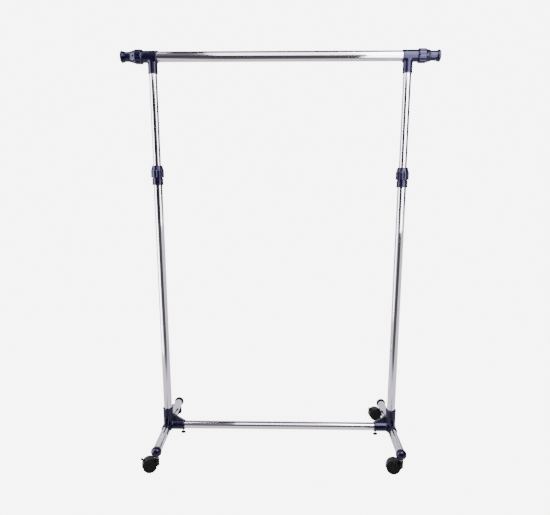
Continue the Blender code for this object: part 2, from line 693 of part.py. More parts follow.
def build_top(finishes):
    """Rail, tees, upper uprights, extension rods, their plugs, caps and nuts."""
    navy = finishes["navy_plastic"]
    chrome = finishes["chromed_tube"]
    grey = finishes["grey_plastic"]
    rail_height = (0, 0, RAIL_AXIS_HEIGHT)
    rail = turned("top_rail", tube_outline(RAIL_OD / 2, RAIL_WALL, -RAIL_HALF, RAIL_HALF))
    add("top_rail", rail, chrome, rail_height, ALONG_X)
    tee = tee_mesh()
    cap = cap_mesh()
    nut = nut_mesh(
        "rail_nut",
        RAIL_NUT_LENGTH,
        RAIL_NUT_RADIUS,
        RAIL_NUT_TIP_RADIUS,
        RAIL_NUT_LOBED,
        RAIL_NOSE_RADIUS,
        RAIL_NOSE,
        ROD_OD / 2,
    )
    laid(nut, (0.0, -math.pi / 2, 0.0), (-TEE_OUTER - RUN, 0.0, 0.0))
    upper_top = RAIL_AXIS_HEIGHT - TEE_POST_FLOOR - TOUCH
    upper_low = upper_top - UPPER_LENGTH
    upper = turned("upper_upright", tube_outline(UPPER_OD / 2, UPPER_WALL, -UPPER_LENGTH, 0.0))
    guide = plug_mesh("upright_plug", LOWER_OD / 2 - LOWER_WALL - TOUCH, UPPER_OD / 2 - UPPER_WALL - TOUCH)
    rod_low = ROD_OUTER - ROD_LENGTH
    rod = turned("rail_rod", tube_outline(ROD_OD / 2, ROD_WALL, rod_low, ROD_OUTER))
    laid(rod, (0.0, -math.pi / 2, 0.0))
    rod_plug = plug_mesh("rod_plug", RAIL_OD / 2 - RAIL_WALL - TOUCH, ROD_OD / 2 - ROD_WALL - TOUCH)
    laid(rod_plug, (0.0, -math.pi / 2, 0.0), (-rod_low, 0.0, 0.0))
    for side in ("left", "right"):
        x = SIGN[side] * HALF_SPACING
        turn = (0, 0, FACING[side])
        add("top_tee_" + side, tee, navy, (x, 0, RAIL_AXIS_HEIGHT), turn)
        add("upper_upright_" + side, upper, chrome, (x, 0, upper_top))
        add("upright_plug_" + side, guide, grey, (x, 0, upper_low))
        add("rail_nut_" + side, nut, navy, rail_height, turn)
        add("rail_rod_" + side, rod, chrome, rail_height, turn)
        add("rod_plug_" + side, rod_plug, grey, rail_height, turn)
        add("rod_cap_" + side, cap, navy, rail_height, turn)


# Casters ------------------------------------------------------------------------------
def hood_mesh(braked):
    """Caster hood about the swivel axis on the floor, trailing towards +X, axle along Y."""
    wrap = math.radians(HOOD_WRAP_DEG)
    axle = (CASTER_TRAIL, 0.0, AXLE_HEIGHT)
    shroud = turned(
        "hood_shroud",
        tube_outline(HOOD_OUTER_RADIUS, HOOD_WALL, -HOOD_HALF, HOOD_HALF),
        sides=SIDES // 2 + 2,
        sweep=wrap,
        start=math.pi / 2 - wrap / 2,
    )
    laid(shroud, (math.pi / 2, 0.0, 0.0), axle)
    arc_steps = 12
    web_radius = HOOD_OUTER_RADIUS - HOOD_WALL / 2
    outline = []
    for step in range(arc_steps + 1):
        angle = math.pi / 2 - wrap / 2 + wrap * step / arc_steps
        outline.append((web_radius * math.cos(angle), web_radius * math.sin(angle)))
    hub_steps = 6
    for step in range(hub_steps + 1):
        angle = math.radians(200.0) + math.radians(140.0) * step / hub_steps
        outline.append((WEB_HUB_RADIUS * math.cos(angle), WEB_HUB_RADIUS * math.sin(angle)))
    web = laid(prism("hood_web", outline, 2 * WEB_HALF), shift=axle)
    boss_low = AXLE_HEIGHT - WEB_HUB_RADIUS / 2
    boss = rod_mesh("hood_boss", BOSS_RADIUS, boss_low, BOSS_TOP)
    cuts = []
    for side in (-1, 1):
        room = rod_mesh("wheel_room", HOOD_INNER_RADIUS, WEB_HALF, HOOD_HALF * 2)
        laid(room, (-side * math.pi / 2, 0.0, 0.0), axle)
        cuts.append(("DIFFERENCE", room))
    boss = combined("hood_boss", boss, cuts)
    stem_hole = rod_mesh(
        "hood_stem_hole",
        seat_radius(STEM_RADIUS, TOUCH, SMALL_SIDES),
        BOSS_TOP - STEM_DEPTH - RUN,
        BOSS_TOP * 2,
        SMALL_SIDES,
    )
    axle_hole = rod_mesh("axle_hole", AXLE_RADIUS + TOUCH, -HOOD_HALF, HOOD_HALF, SMALL_SIDES)
    laid(axle_hole, ALONG_Y, axle)
    steps = [("UNION", web), ("UNION", boss), ("DIFFERENCE", stem_hole), ("DIFFERENCE", axle_hole)]
    if braked:
        tilt = (0.0, -math.radians(BRAKE_TILT_DEG), 0.0)
        slot = box_mesh(
            "brake_slot",
            (BRAKE_PIVOT - BRAKE_TAIL * 2, -BRAKE_HALF_WIDTH - RUN, -BRAKE_SLOT / 2),
            (BRAKE_REACH, BRAKE_HALF_WIDTH + RUN, BRAKE_SLOT / 2),
        )
        laid(slot, tilt, axle)
        pin_radius = seat_radius(BRAKE_TRUNNION_RADIUS, TOUCH, SMALL_SIDES)
        pin_hole = rod_mesh("brake_pin_hole", pin_radius, -WEB_HALF * 2, WEB_HALF * 2, SMALL_SIDES)
        laid(pin_hole, ALONG_Y, (BRAKE_PIVOT, 0.0, 0.0))
        laid(pin_hole, tilt, axle)
        steps += [("DIFFERENCE", slot), ("DIFFERENCE", pin_hole)]
    return combined("caster_hood", shroud, steps)


def stem_mesh():
    """Caster stem along Z with its flange under the ball, in world heights."""
    top = FOOT_AXIS_HEIGHT + STEM_HOLE_TOP - TOUCH
    flange_low = STEM_FLANGE_TOP - STEM_FLANGE
    return turned("caster_stem", [
        (0.0, BOSS_TOP - STEM_DEPTH),
        (STEM_RADIUS, BOSS_TOP - STEM_DEPTH),
        (STEM_RADIUS, flange_low),
        (STEM_FLANGE_RADIUS, flange_low),
        (STEM_FLANGE_RADIUS, STEM_FLANGE_TOP),
        (STEM_RADIUS, STEM_FLANGE_TOP),
        (STEM_RADIUS, top),
        (0.0, top),
    ], SMALL_SIDES)


def wheel_mesh():
    """Wheel about its axle, from its inner face at Z = 0 to its dished outer face."""
    bore = seat_radius(AXLE_RADIUS, TOUCH, SMALL_SIDES)
    face = WHEEL_WIDTH - WHEEL_DISH
    bore_end = face - WHEEL_END_WALL
    rim_in = WHEEL_RADIUS - WHEEL_EDGE - WHEEL_RIM
    return turned("caster_wheel", [
        (0.0, bore_end),
        (bore, bore_end),
        (bore, 0.0),
        (WHEEL_RADIUS - WHEEL_EDGE, 0.0),
        (WHEEL_RADIUS, WHEEL_EDGE),
        (WHEEL_RADIUS, WHEEL_WIDTH - WHEEL_EDGE),
        (WHEEL_RADIUS - WHEEL_EDGE, WHEEL_WIDTH),
        (rim_in, WHEEL_WIDTH),
        (rim_in - WHEEL_DISH, face),
        (0.0, face),
    ])


def brake_mesh():
    """Brake lever about its trunnions: the lever along +X, the trunnions along Y."""
    reach = BRAKE_REACH - BRAKE_PIVOT
    pad = reach - BRAKE_PAD_LENGTH
    half = BRAKE_THICKNESS / 2
    pad_half = BRAKE_PAD_THICKNESS / 2
    lever = prism("caster_brake", [
        (-BRAKE_TAIL, -half),
        (pad, -half),
        (reach, -pad_half),
        (reach, pad_half),
        (pad, half),
        (-BRAKE_TAIL, half),
    ], 2 * BRAKE_HALF_WIDTH)
    pin_half = WEB_HALF - TOUCH
    pin = rod_mesh("brake_pin", BRAKE_TRUNNION_RADIUS, -pin_half, pin_half, SMALL_SIDES)
    laid(pin, ALONG_Y)
    return combined("caster_brake", lever, [("UNION", pin)])


def build_casters(finishes):
    """Four swivel casters: stem, hood, axle, two wheels, and a brake lever on two of them."""
    black = finishes["black_plastic"]
    steel = finishes["plain_steel"]
    tread = finishes["black_tread"]
    stem = stem_mesh()
    wheel = wheel_mesh()
    brake = brake_mesh()
    hoods = {braked: hood_mesh(braked) for braked in (False, True)}
    bore_end = WHEEL_INNER + WHEEL_WIDTH - WHEEL_DISH - WHEEL_END_WALL
    axle_half = bore_end - TOUCH
    axle = rod_mesh("caster_axle", AXLE_RADIUS, -axle_half, axle_half, SMALL_SIDES)
    for place, heading_deg in HEADINGS_DEG.items():
        end, side = place.split("_")
        x = SIGN[side] * HALF_SPACING
        y = HALF_SPAN if end == "rear" else -HALF_SPAN
        add("caster_stem_" + place, stem, steel, (x, y, 0))
        swivel = marker("swivel_" + place, (x, y, 0), math.radians(heading_deg))
        add("caster_hood_" + place, hoods[place in BRAKED], black, parent=swivel)
        middle = (CASTER_TRAIL, 0, AXLE_HEIGHT)
        add("caster_axle_" + place, axle, steel, middle, ALONG_Y, swivel)
        for letter, out in (("a", 1.0), ("b", -1.0)):
            spot = (CASTER_TRAIL, out * WHEEL_INNER, AXLE_HEIGHT)
            lay = (-out * math.pi / 2, 0, 0)
            add("caster_wheel_" + place + "_" + letter, wheel, tread, spot, lay, swivel)
        if place in BRAKED:
            tilt = math.radians(BRAKE_TILT_DEG)
            spot = (
                CASTER_TRAIL + BRAKE_PIVOT * math.cos(tilt),
                0,
                AXLE_HEIGHT + BRAKE_PIVOT * math.sin(tilt),
            )
            add("caster_brake_" + place, brake, black, spot, (0, -tilt, 0), swivel)


def main():
    """Build the whole rack."""
    clear_scene()
    finishes = {
        "navy_plastic": finish("navy_plastic", (0.018, 0.012, 0.055), 0.0, 0.22),
        "chromed_tube": finish("chromed_tube", (0.75, 0.74, 0.78), 1.0, 0.12),
        "grey_plastic": finish("grey_plastic", (0.35, 0.35, 0.37), 0.0, 0.5),
        "black_plastic": finish("black_plastic", (0.012, 0.012, 0.015), 0.0, 0.3),
        "black_tread": finish("black_tread", (0.010, 0.010, 0.012), 0.0, 0.55),
        "plain_steel": finish("plain_steel", (0.55, 0.55, 0.56), 1.0, 0.3),
    }
    build_base(finishes)
    build_locks(finishes)
    build_top(finishes)
    build_casters(finishes)
    bpy.context.view_layer.update()


main()
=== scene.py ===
# %% [markdown]
# # A rolling clothes rack
#
# The rack is mostly chromed tube: two telescopic uprights, a top rail with an extension
# rod at each end, a crossbar, and a foot tube under each upright.  Deep blue moulded
# fittings join the tubes, and twist nuts lock them.  Four small twin-wheel casters carry it.
#
# The working model is loaded first and never changed.  It says where every piece is and
# what turns or slides.  Each of its pieces is then drawn again, finer, in the same place,
# and told which body it moves with.

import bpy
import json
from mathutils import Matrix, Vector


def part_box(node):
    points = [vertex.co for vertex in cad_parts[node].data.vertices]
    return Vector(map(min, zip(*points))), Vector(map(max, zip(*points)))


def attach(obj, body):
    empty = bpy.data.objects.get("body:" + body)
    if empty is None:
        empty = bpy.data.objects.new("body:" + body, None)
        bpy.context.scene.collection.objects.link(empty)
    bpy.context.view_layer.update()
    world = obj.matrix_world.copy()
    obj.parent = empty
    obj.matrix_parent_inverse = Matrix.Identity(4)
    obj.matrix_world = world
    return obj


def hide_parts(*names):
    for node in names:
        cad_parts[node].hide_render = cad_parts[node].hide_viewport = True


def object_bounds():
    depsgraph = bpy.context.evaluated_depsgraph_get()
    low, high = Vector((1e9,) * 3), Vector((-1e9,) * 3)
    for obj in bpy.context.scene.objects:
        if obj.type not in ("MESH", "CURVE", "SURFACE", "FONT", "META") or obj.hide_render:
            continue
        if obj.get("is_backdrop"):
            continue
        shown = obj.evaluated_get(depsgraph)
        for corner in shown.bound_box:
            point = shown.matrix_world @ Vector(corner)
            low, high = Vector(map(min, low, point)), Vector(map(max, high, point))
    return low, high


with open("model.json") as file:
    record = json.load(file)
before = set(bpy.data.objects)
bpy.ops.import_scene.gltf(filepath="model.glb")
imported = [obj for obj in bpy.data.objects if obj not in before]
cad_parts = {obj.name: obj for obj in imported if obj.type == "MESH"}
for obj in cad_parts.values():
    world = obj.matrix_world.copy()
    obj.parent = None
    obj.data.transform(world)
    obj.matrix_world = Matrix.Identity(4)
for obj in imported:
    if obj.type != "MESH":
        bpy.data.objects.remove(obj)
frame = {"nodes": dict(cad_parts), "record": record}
cad_low, cad_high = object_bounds()
print("pieces in the working model:", len(frame["nodes"]))

# %% [markdown]
# ## Places and sizes taken from the working model
#
# A reader could type each position again, but then two files would have to agree.  It is
# safer to measure the boxes of the working pieces and to ask which body each belongs to.
# The working pieces have twenty flat sides, so a box is a little narrower than the round
# tube that it stands for, and the width is divided by the cosine of half a side's angle.

# %% Measure the working model
import json
import math

import bmesh
import bpy
import numpy as np
import openvdb
from mathutils import Matrix, Vector

BODY_OF = {
    node: body
    for body, members in frame["record"]["behaviour"]["bodies"].items()
    for node in members
}
FACET = math.cos(math.pi / 20)


def middle(node):
    """The centre of a working piece's box."""
    low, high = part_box(node)
    return (low + high) / 2


def extent(node, axis):
    """How long a working piece is along one axis."""
    low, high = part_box(node)
    return high[axis] - low[axis]


FOOT_HEIGHT = middle("crossbar").z
RAIL_HEIGHT = middle("top_rail").z
HALF_SPACING = middle("lower_upright_right").x
SIDES = {"left": -1.0, "right": 1.0}
TURN = {"left": Matrix.Identity(4), "right": Matrix.Rotation(math.pi, 4, "Z")}
print(f"uprights {2 * HALF_SPACING:.3f} m apart, rail {RAIL_HEIGHT:.3f} m above the floor")

# %% [markdown]
# ## Turned pieces
#
# Tubes, caps, plugs and wheels are round, so each is a profile carried round an axis.
# Blender's Spin tool or a Screw modifier would do it.  Here the whole surface is one
# array instead: rows follow the profile and columns go round, which leaves room to
# change the shape with the angle, as the nuts need.
#
# Real edges are never knife-sharp, so `rounded` gives every corner of a profile its own
# small curve before the profile is turned.

# %% Profiles and surfaces
COLUMNS = 96


def rounded(corners, radii, steps=5):
    """A closed profile with a curve at each corner.

    Each corner P is left at the distance radius / tan(half its angle), and the two ends
    are joined by the parabola (1-s)^2 A + 2 s (1-s) P + s^2 B, for all corners at once.
    """
    points = np.array(corners, float)
    before = np.roll(points, 1, axis=0) - points
    after = np.roll(points, -1, axis=0) - points
    run_before = np.linalg.norm(before, axis=1, keepdims=True)
    run_after = np.linalg.norm(after, axis=1, keepdims=True)
    toward_before = before / run_before
    toward_after = after / run_after
    cosine = (toward_before * toward_after).sum(axis=1, keepdims=True)
    half_angle = np.arccos(np.clip(cosine, -1.0, 1.0)) / 2
    reach = np.broadcast_to(radii, len(points))[:, None] / np.tan(np.maximum(half_angle, 0.01))
    reach = np.minimum(reach, 0.48 * np.minimum(run_before, run_after))
    start = (points + toward_before * reach)[:, None]
    end = (points + toward_after * reach)[:, None]
    s = np.linspace(0.0, 1.0, steps + 1)[None, :, None]
    curve = (1 - s) ** 2 * start + 2 * s * (1 - s) * points[:, None] + s**2 * end
    return curve.reshape(-1, 2)


def closed_mesh(name, points, faces, sharp_deg=42.0):
    """A mesh with merged doubles, faces out, and each point's own place kept as `own`.

    The `own` attribute stays as it is when the mesh is laid in its place, so a finish can
    follow the piece's own axis whichever way the piece lies.
    """
    mesh = bpy.data.meshes.new(name)
    mesh.from_pydata(points.tolist(), [], faces.tolist())
    shape = bmesh.new()
    shape.from_mesh(mesh)
    bmesh.ops.remove_doubles(shape, verts=shape.verts, dist=1e-7)
    bmesh.ops.dissolve_degenerate(shape, edges=shape.edges, dist=1e-8)
    bmesh.ops.recalc_face_normals(shape, faces=shape.faces)
    shape.to_mesh(mesh)
    shape.free()
    place = np.empty(len(mesh.vertices) * 3, np.float32)
    mesh.vertices.foreach_get("co", place)
    own = mesh.attributes.new("own", "FLOAT_VECTOR", "POINT")
    own.data.foreach_set("vector", place)
    mesh.shade_smooth()
    mesh.set_sharp_from_angle(angle=math.radians(sharp_deg))
    return mesh


def skin(name, grid):
    """The closed surface through a grid of points: rows and columns both come back round."""
    rows, columns = grid.shape[:2]
    index = np.arange(rows * columns).reshape(rows, columns)
    beside = np.roll(index, -1, axis=1)
    corners = [index, beside, np.roll(beside, -1, axis=0), np.roll(index, -1, axis=0)]
    return closed_mesh(name, grid.reshape(-1, 3), np.stack(corners, axis=-1).reshape(-1, 4))


def turned(name, profile, columns=COLUMNS):
    """Profile (radius, height) carried round Z: x = r cos a, y = r sin a, z = height."""
    angle = np.linspace(0.0, 2 * np.pi, columns, endpoint=False)
    radius, height = profile[:, :1], profile[:, 1:]
    grid = np.stack(
        [radius * np.cos(angle), radius * np.sin(angle), height + 0 * angle], axis=-1
    )
    return skin(name, grid)


print("profile test:", rounded([(0, 0), (1, 0), (1, 1)], 0.1).shape[0], "points")

# %% [markdown]
# ## Moulded pieces
#
# The base connectors, the tees and the caster hoods are injection mouldings: sockets and
# ribs that run into each other with soft fillets.  Joining solids with Booleans gives
# hard creases where the real tool was polished round.  A distance field gives the
# fillets for nothing.  Each point of a fine lattice gets its distance to the shape, two
# shapes are joined with a soft minimum, one is cut from another with a soft maximum, and
# the surface is where the distance is zero.

# %% Distance fields
def bar(place, axis, radius, low, high, edge=0.0):
    """Distance to a round bar along one axis, with its two rims rounded by `edge`."""
    across = [place[i] for i in range(3) if i != axis]
    out = np.hypot(*across) - radius + edge
    past = np.abs(place[axis] - (low + high) / 2) - (high - low) / 2 + edge
    outside = np.hypot(np.maximum(out, 0), np.maximum(past, 0))
    return np.minimum(np.maximum(out, past), 0) + outside - edge


def block(place, low, high, edge=0.0):
    """Distance to a box between two corners, with its edges rounded by `edge`."""
    past = [
        np.abs(p - (a + b) / 2) - (b - a) / 2 + edge for p, a, b in zip(place, low, high)
    ]
    outside = np.sqrt(sum(np.maximum(p, 0) ** 2 for p in past))
    inside = np.minimum(np.maximum(np.maximum(past[0], past[1]), past[2]), 0)
    return inside + outside - edge


def plate(place, corners, across, axes, half):
    """Distance to a flat plate: the largest of its outline's half-plane distances.

    The corners go round the outline against the clock in the plane of `axes`.
    """
    corner = np.array(corners, float)
    ahead = np.roll(corner, -1, axis=0) - corner
    ahead /= np.linalg.norm(ahead, axis=1, keepdims=True)
    distance = np.abs(place[across]) - half
    for (u, v), (du, dv) in zip(corner, ahead):
        distance = np.maximum(distance, (place[axes[0]] - u) * dv - (place[axes[1]] - v) * du)
    return distance


def joined(a, b, fillet):
    """Soft minimum: where the two are within `fillet`, the surface sinks by h^2 fillet / 4."""
    h = np.maximum(fillet - np.abs(a - b), 0) / fillet
    return np.minimum(a, b) - h * h * fillet / 4


def cut(a, b, edge):
    """What is left of a when b is taken out of it, with the rim softened by `edge`."""
    return -joined(-a, b, edge)


def moulded(name, low, high, step, shape):
    """The zero surface of a distance field, sampled every `step` in a box."""
    axes = [np.arange(a - 3 * step, b + 4 * step, step, dtype=np.float32) for a, b in zip(low, high)]
    place = np.meshgrid(*axes, indexing="ij")
    field = openvdb.FloatGrid(3.0)
    field.copyFromArray(np.ascontiguousarray(np.clip(shape(place) / step, -3, 3), np.float32))
    points, triangles, quads = field.convertToPolygons(isovalue=0.0, adaptivity=0.0)
    points = points * step + np.array([axis[0] for axis in axes])
    mesh = closed_mesh(name, points, quads, sharp_deg=75.0)
    print(f"{name}: {len(mesh.polygons)} faces, {len(triangles)} odd triangles")
    return mesh


# %% [markdown]
# ## Finishes
#
# Nothing on the rack is one flat colour.  The chrome shows the lines of the drawing and
# polishing, and hands leave smudges on it.  The blue mouldings have a faint grain, flow
# marks and light scuffs.  Faces that look up are lightened towards grey, partly settled
# dust and partly a painted sheen on top.  What several finishes share is made
# once as a node group, so that each finish only says how much of it it wants.

# %% A short way to write nodes
def node(tree, kind, inputs=None, **settings):
    """One shader node; an input is given a value or the socket that feeds it."""
    made = tree.nodes.new("ShaderNode" + kind)
    for key, value in settings.items():
        setattr(made, key, value)
    for key, value in (inputs or {}).items():
        if isinstance(value, bpy.types.NodeSocket):
            tree.links.new(value, made.inputs[key])
        else:
            made.inputs[key].default_value = value
    return made


def group(name, inputs, outputs):
    """An empty node group with named float or vector inputs and float outputs."""
    tree = bpy.data.node_groups.new(name, "ShaderNodeTree")
    for label, kind, value in inputs:
        socket = tree.interface.new_socket(label, in_out="INPUT", socket_type="NodeSocket" + kind)
        if value is not None:
            socket.default_value = value
    for label in outputs:
        tree.interface.new_socket(label, in_out="OUTPUT", socket_type="NodeSocketFloat")
    return tree, tree.nodes.new("NodeGroupInput").outputs, tree.nodes.new("NodeGroupOutput").inputs


def noise(tree, where, scale, detail=4.0, rough=0.55, stretch=(1.0, 1.0, 1.0)):
    """Noise in the piece's own metres, `scale` to the metre, stretched along its axes."""
    laid = node(tree, "Mapping", {"Vector": where, "Scale": stretch})
    values = {"Vector": laid.outputs[0], "Scale": scale, "Detail": detail, "Roughness": rough}
    return node(tree, "TexNoise", values).outputs["Fac"]


def spread(tree, value, low, high, out_low=0.0, out_high=1.0):
    """Stretch the stretch of values between low and high, and clamp the rest."""
    values = {"Value": value, "From Min": low, "From Max": high}
    values |= {"To Min": out_low, "To Max": out_high}
    return node(tree, "MapRange", values).outputs[0]


def calc(tree, operation, a, b=0.0, c=0.0):
    """One sum on two or three values."""
    return node(tree, "Math", {0: a, 1: b, 2: c}, operation=operation).outputs[0]


# %% [markdown]
# Three groups hold the shared effects.  Draw lines run along a tube because the noise is
# squeezed a hundred times more across the axis than along it.  Handling marks are broad
# smudges with a few fine scratches over them.  The third lightens the faces that look up:
# settled dust, and a painted sheen on top.

# %% Shared effects
lines, given, result = group(
    "draw_lines", [("Own", "Vector", None), ("Depth", "Float", 1.0)], ["Lines"]
)
fine = noise(lines, given["Own"], 1500.0, 2.0, 0.6, (1.0, 1.0, 0.008))
broad = noise(lines, given["Own"], 240.0, 2.0, 0.5, (1.0, 1.0, 0.02))
lines.links.new(
    calc(lines, "MULTIPLY", calc(lines, "ADD", fine, broad), given["Depth"]), result["Lines"]
)

marks, given, result = group(
    "handling_marks", [("Own", "Vector", None), ("Amount", "Float", 0.5)], ["Smudge", "Scratch"]
)
patches = spread(marks, noise(marks, given["Own"], 38.0, 5.0, 0.6), 0.47, 0.72)
marks.links.new(calc(marks, "MULTIPLY", patches, given["Amount"]), result["Smudge"])
hairs = noise(marks, given["Own"], 420.0, 3.0, 0.7, (1.0, 0.35, 0.12))
hairs = spread(marks, hairs, 0.66, 0.74)
marks.links.new(calc(marks, "MULTIPLY", hairs, given["Amount"]), result["Scratch"])

# Faces that look up are lightened, broken into flecks: settled dust and a painted sheen on top.
dust_sheen_tree, given, result = group(
    "dust_and_sheen", [("Own", "Vector", None), ("Amount", "Float", 0.3)], ["Dust"]
)
facing = node(dust_sheen_tree, "NewGeometry").outputs["Normal"]
upward = node(dust_sheen_tree, "SeparateXYZ", {"Vector": facing}).outputs["Z"]
dust_sheen_upward = calc(dust_sheen_tree, "MULTIPLY", spread(dust_sheen_tree, upward, 0.1, 0.95), given["Amount"])
flecks = spread(dust_sheen_tree, noise(dust_sheen_tree, given["Own"], 900.0, 3.0, 0.7), 0.35, 0.7)
dust_sheen_tree.links.new(calc(dust_sheen_tree, "MULTIPLY", dust_sheen_upward, flecks), result["Dust"])
print("shared effects:", [g.name for g in bpy.data.node_groups])


# %% [markdown]
# A finish starts as a Principled shader and the piece's own coordinates.  The chrome is a
# true metal with a low roughness, and its lines are only a few hundredths of a
# millimetre deep.  The blue plastic is dark with a clear shine and a lavender glint.
# Hoods and levers are a duller black, the treads duller still.

# %% Finishes
FINISH = {}


def start_finish(name):
    """A new material with its shader, and the piece's own coordinates."""
    material = bpy.data.materials.new(name)
    material.use_nodes = True
    tree = material.node_tree
    own = node(tree, "Attribute", attribute_name="own").outputs["Vector"]
    FINISH[name] = material
    return tree, tree.nodes["Principled BSDF"], own


def mixed(tree, share, a, b):
    """Colour between a and b, each of them a colour or the socket that gives one."""
    a, b = ((*colour, 1.0) if isinstance(colour, tuple) else colour for colour in (a, b))
    return node(tree, "Mix", {0: share, 6: a, 7: b}, data_type="RGBA").outputs[2]


def effect(tree, name, own, **inputs):
    """One of the shared effects, placed in a finish."""
    made = node(tree, "Group", node_tree=bpy.data.node_groups[name])
    tree.links.new(own, made.inputs["Own"])
    for key, value in inputs.items():
        made.inputs[key].default_value = value
    return made.outputs


def bump(tree, height, strength, distance):
    """A Bump node's normal."""
    values = {"Height": height, "Strength": strength, "Distance": distance}
    return node(tree, "Bump", values).outputs[0]


def metal(name, bright, worn, rough, line_depth, marks_amount):
    """Bare or plated metal with draw lines, smudges and scratches."""
    tree, shader, own = start_finish(name)
    drawn = effect(tree, "draw_lines", own, Depth=line_depth)["Lines"]
    handled = effect(tree, "handling_marks", own, Amount=marks_amount)
    colour = mixed(tree, handled["Smudge"], bright, worn)
    tree.links.new(colour, shader.inputs["Base Color"])
    shader.inputs["Metallic"].default_value = 1.0
    wear = calc(tree, "ADD", handled["Smudge"], handled["Scratch"])
    base = calc(tree, "MULTIPLY_ADD", wear, 0.12, rough)
    streak = calc(tree, "MULTIPLY_ADD", drawn, 0.06, base)
    tree.links.new(streak, shader.inputs["Roughness"])
    tree.links.new(bump(tree, drawn, 0.02, 0.00004), shader.inputs["Normal"])


def plastic(name, body, lit, rough, grain, scuffs, dust_sheen_amount, shine=0.5, glint=(1.0, 1.0, 1.0)):
    """Moulded plastic: flow variation in the colour, a fine grain, scuffs, and faces that look up
    lightened by settled dust and a painted sheen.
    """
    tree, shader, own = start_finish(name)
    flow = spread(tree, noise(tree, own, 45.0, 3.0, 0.5), 0.35, 0.7)
    colour = mixed(tree, flow, body, lit)
    handled = effect(tree, "handling_marks", own, Amount=scuffs)
    scuffed = tuple(2.0 * c + 0.006 for c in lit)
    colour = mixed(tree, handled["Scratch"], colour, scuffed)
    # Faces that look up go towards grey: settled dust, and a painted sheen on top.
    dust_sheen_mask = effect(tree, "dust_and_sheen", own, Amount=dust_sheen_amount)["Dust"]
    colour = mixed(tree, dust_sheen_mask, colour, (0.30, 0.29, 0.28))
    tree.links.new(colour, shader.inputs["Base Color"])
    pits = noise(tree, own, 2600.0, 2.0, 0.6)
    dull = calc(tree, "ADD", calc(tree, "ADD", handled["Smudge"], dust_sheen_mask), pits)
    total = calc(tree, "MULTIPLY_ADD", dull, 0.14, rough)
    tree.links.new(total, shader.inputs["Roughness"])
    shader.inputs["Specular IOR Level"].default_value = shine
    shader.inputs["Specular Tint"].default_value = (*glint, 1.0)
    tree.links.new(bump(tree, pits, grain, 0.00005), shader.inputs["Normal"])


metal("chromed_tube", (0.78, 0.715, 0.82), (0.68, 0.61, 0.72), 0.045, 0.6, 0.4)
metal("plain_steel", (0.56, 0.55, 0.54), (0.40, 0.38, 0.36), 0.24, 1.6, 0.8)
LAVENDER = (0.62, 0.57, 1.0)
NAVY = (0.0014, 0.0010, 0.0062)
NAVY_LIT = (0.0028, 0.0021, 0.0115)
plastic("navy_plastic", NAVY, NAVY_LIT, 0.13, 0.07, 0.25, 0.006, 0.5, LAVENDER)
BLACK = (0.0015, 0.0012, 0.0021)
BLACK_LIT = (0.0026, 0.0022, 0.0034)
plastic("black_plastic", BLACK, BLACK_LIT, 0.25, 0.20, 0.4, 0.010, 0.18)
SCREW = (0.0016, 0.0015, 0.0018)
SCREW_LIT = (0.0026, 0.0025, 0.0028)
plastic("black_screw", SCREW, SCREW_LIT, 0.30, 0.20, 0.4, 0.006, 0.20)
TREAD = (0.0012, 0.0010, 0.0016)
TREAD_LIT = (0.0022, 0.0019, 0.0027)
plastic("black_tread", TREAD, TREAD_LIT, 0.42, 0.40, 0.4, 0.012, 0.16)
plastic("grey_plastic", (0.30, 0.30, 0.32), (0.38, 0.38, 0.40), 0.42, 0.25, 0.4, 0.05)
print("finishes:", sorted(FINISH))

# %% [markdown]
# ## Putting a piece in its place
#
# A mesh is made about its own axis, then copied, laid in its place and given to its body.
# The object itself stays at the origin, unturned, because that is how the working model's
# pieces are kept too.

# %% Place, finish and body
def put(mesh, work_node, place, finish):
    """Lay a copy of the mesh in its place, standing for one piece of the working model."""
    laid = mesh.copy()
    laid.name = work_node + "_finished"
    laid.transform(place)
    laid.materials.append(FINISH[finish])
    piece = bpy.data.objects.new(work_node + "_finished", laid)
    bpy.context.collection.objects.link(piece)
    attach(piece, BODY_OF[work_node])
    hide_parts(work_node)
    return piece


LAID = {
    0: Matrix.Rotation(math.pi / 2, 4, "Y"),
    1: Matrix.Rotation(-math.pi / 2, 4, "X"),
    2: Matrix.Identity(4),
}
print("a piece can be laid along", len(LAID), "axes")

# %% [markdown]
# ## Chromed tubes
#
# Every tube is thin-walled welded steel, cut to length and deburred.  A cylinder with a
# Solidify modifier would look alike from afar, but a real cut end has a wall of its own
# and two soft edges, so the profile is the wall itself with its four corners rounded.

# %% Tubes
FOOT_WALL = 0.0012
PLAIN_WALL = 0.0010
RIM_SHARE = 0.35
TUBES = {"crossbar": 0, "top_rail": 0}
for side in SIDES:
    TUBES |= {
        "foot_tube_" + side: 1,
        "rail_rod_" + side: 0,
        "lower_upright_" + side: 2,
        "upper_upright_" + side: 2,
    }
for name, axis in TUBES.items():
    across = (axis + 1) % 3 if name != "crossbar" else 2
    radius = extent(name, across) / 2 / FACET
    wall = FOOT_WALL if name.startswith("foot_tube") else PLAIN_WALL
    half = extent(name, axis) / 2
    profile = rounded(
        [(radius - wall, -half), (radius, -half), (radius, half), (radius - wall, half)],
        wall * RIM_SHARE,
    )
    place = Matrix.Translation(middle(name)) @ LAID[axis]
    put(turned(name + "_wall", profile), name, place, "chromed_tube")
    print(f"{name}: {2000 * radius:.1f} mm across, {2000 * half:.0f} mm long")

# %% [markdown]
# ## Base connectors
#
# Each corner is one moulding.  A round socket stands on a saddle that wraps the foot
# tube, a second socket takes the crossbar, a triangular gusset braces the two, and two
# pairs of thin fins brace the upright socket along the foot.  The sockets have a shoulder
# that the tubes stop against.

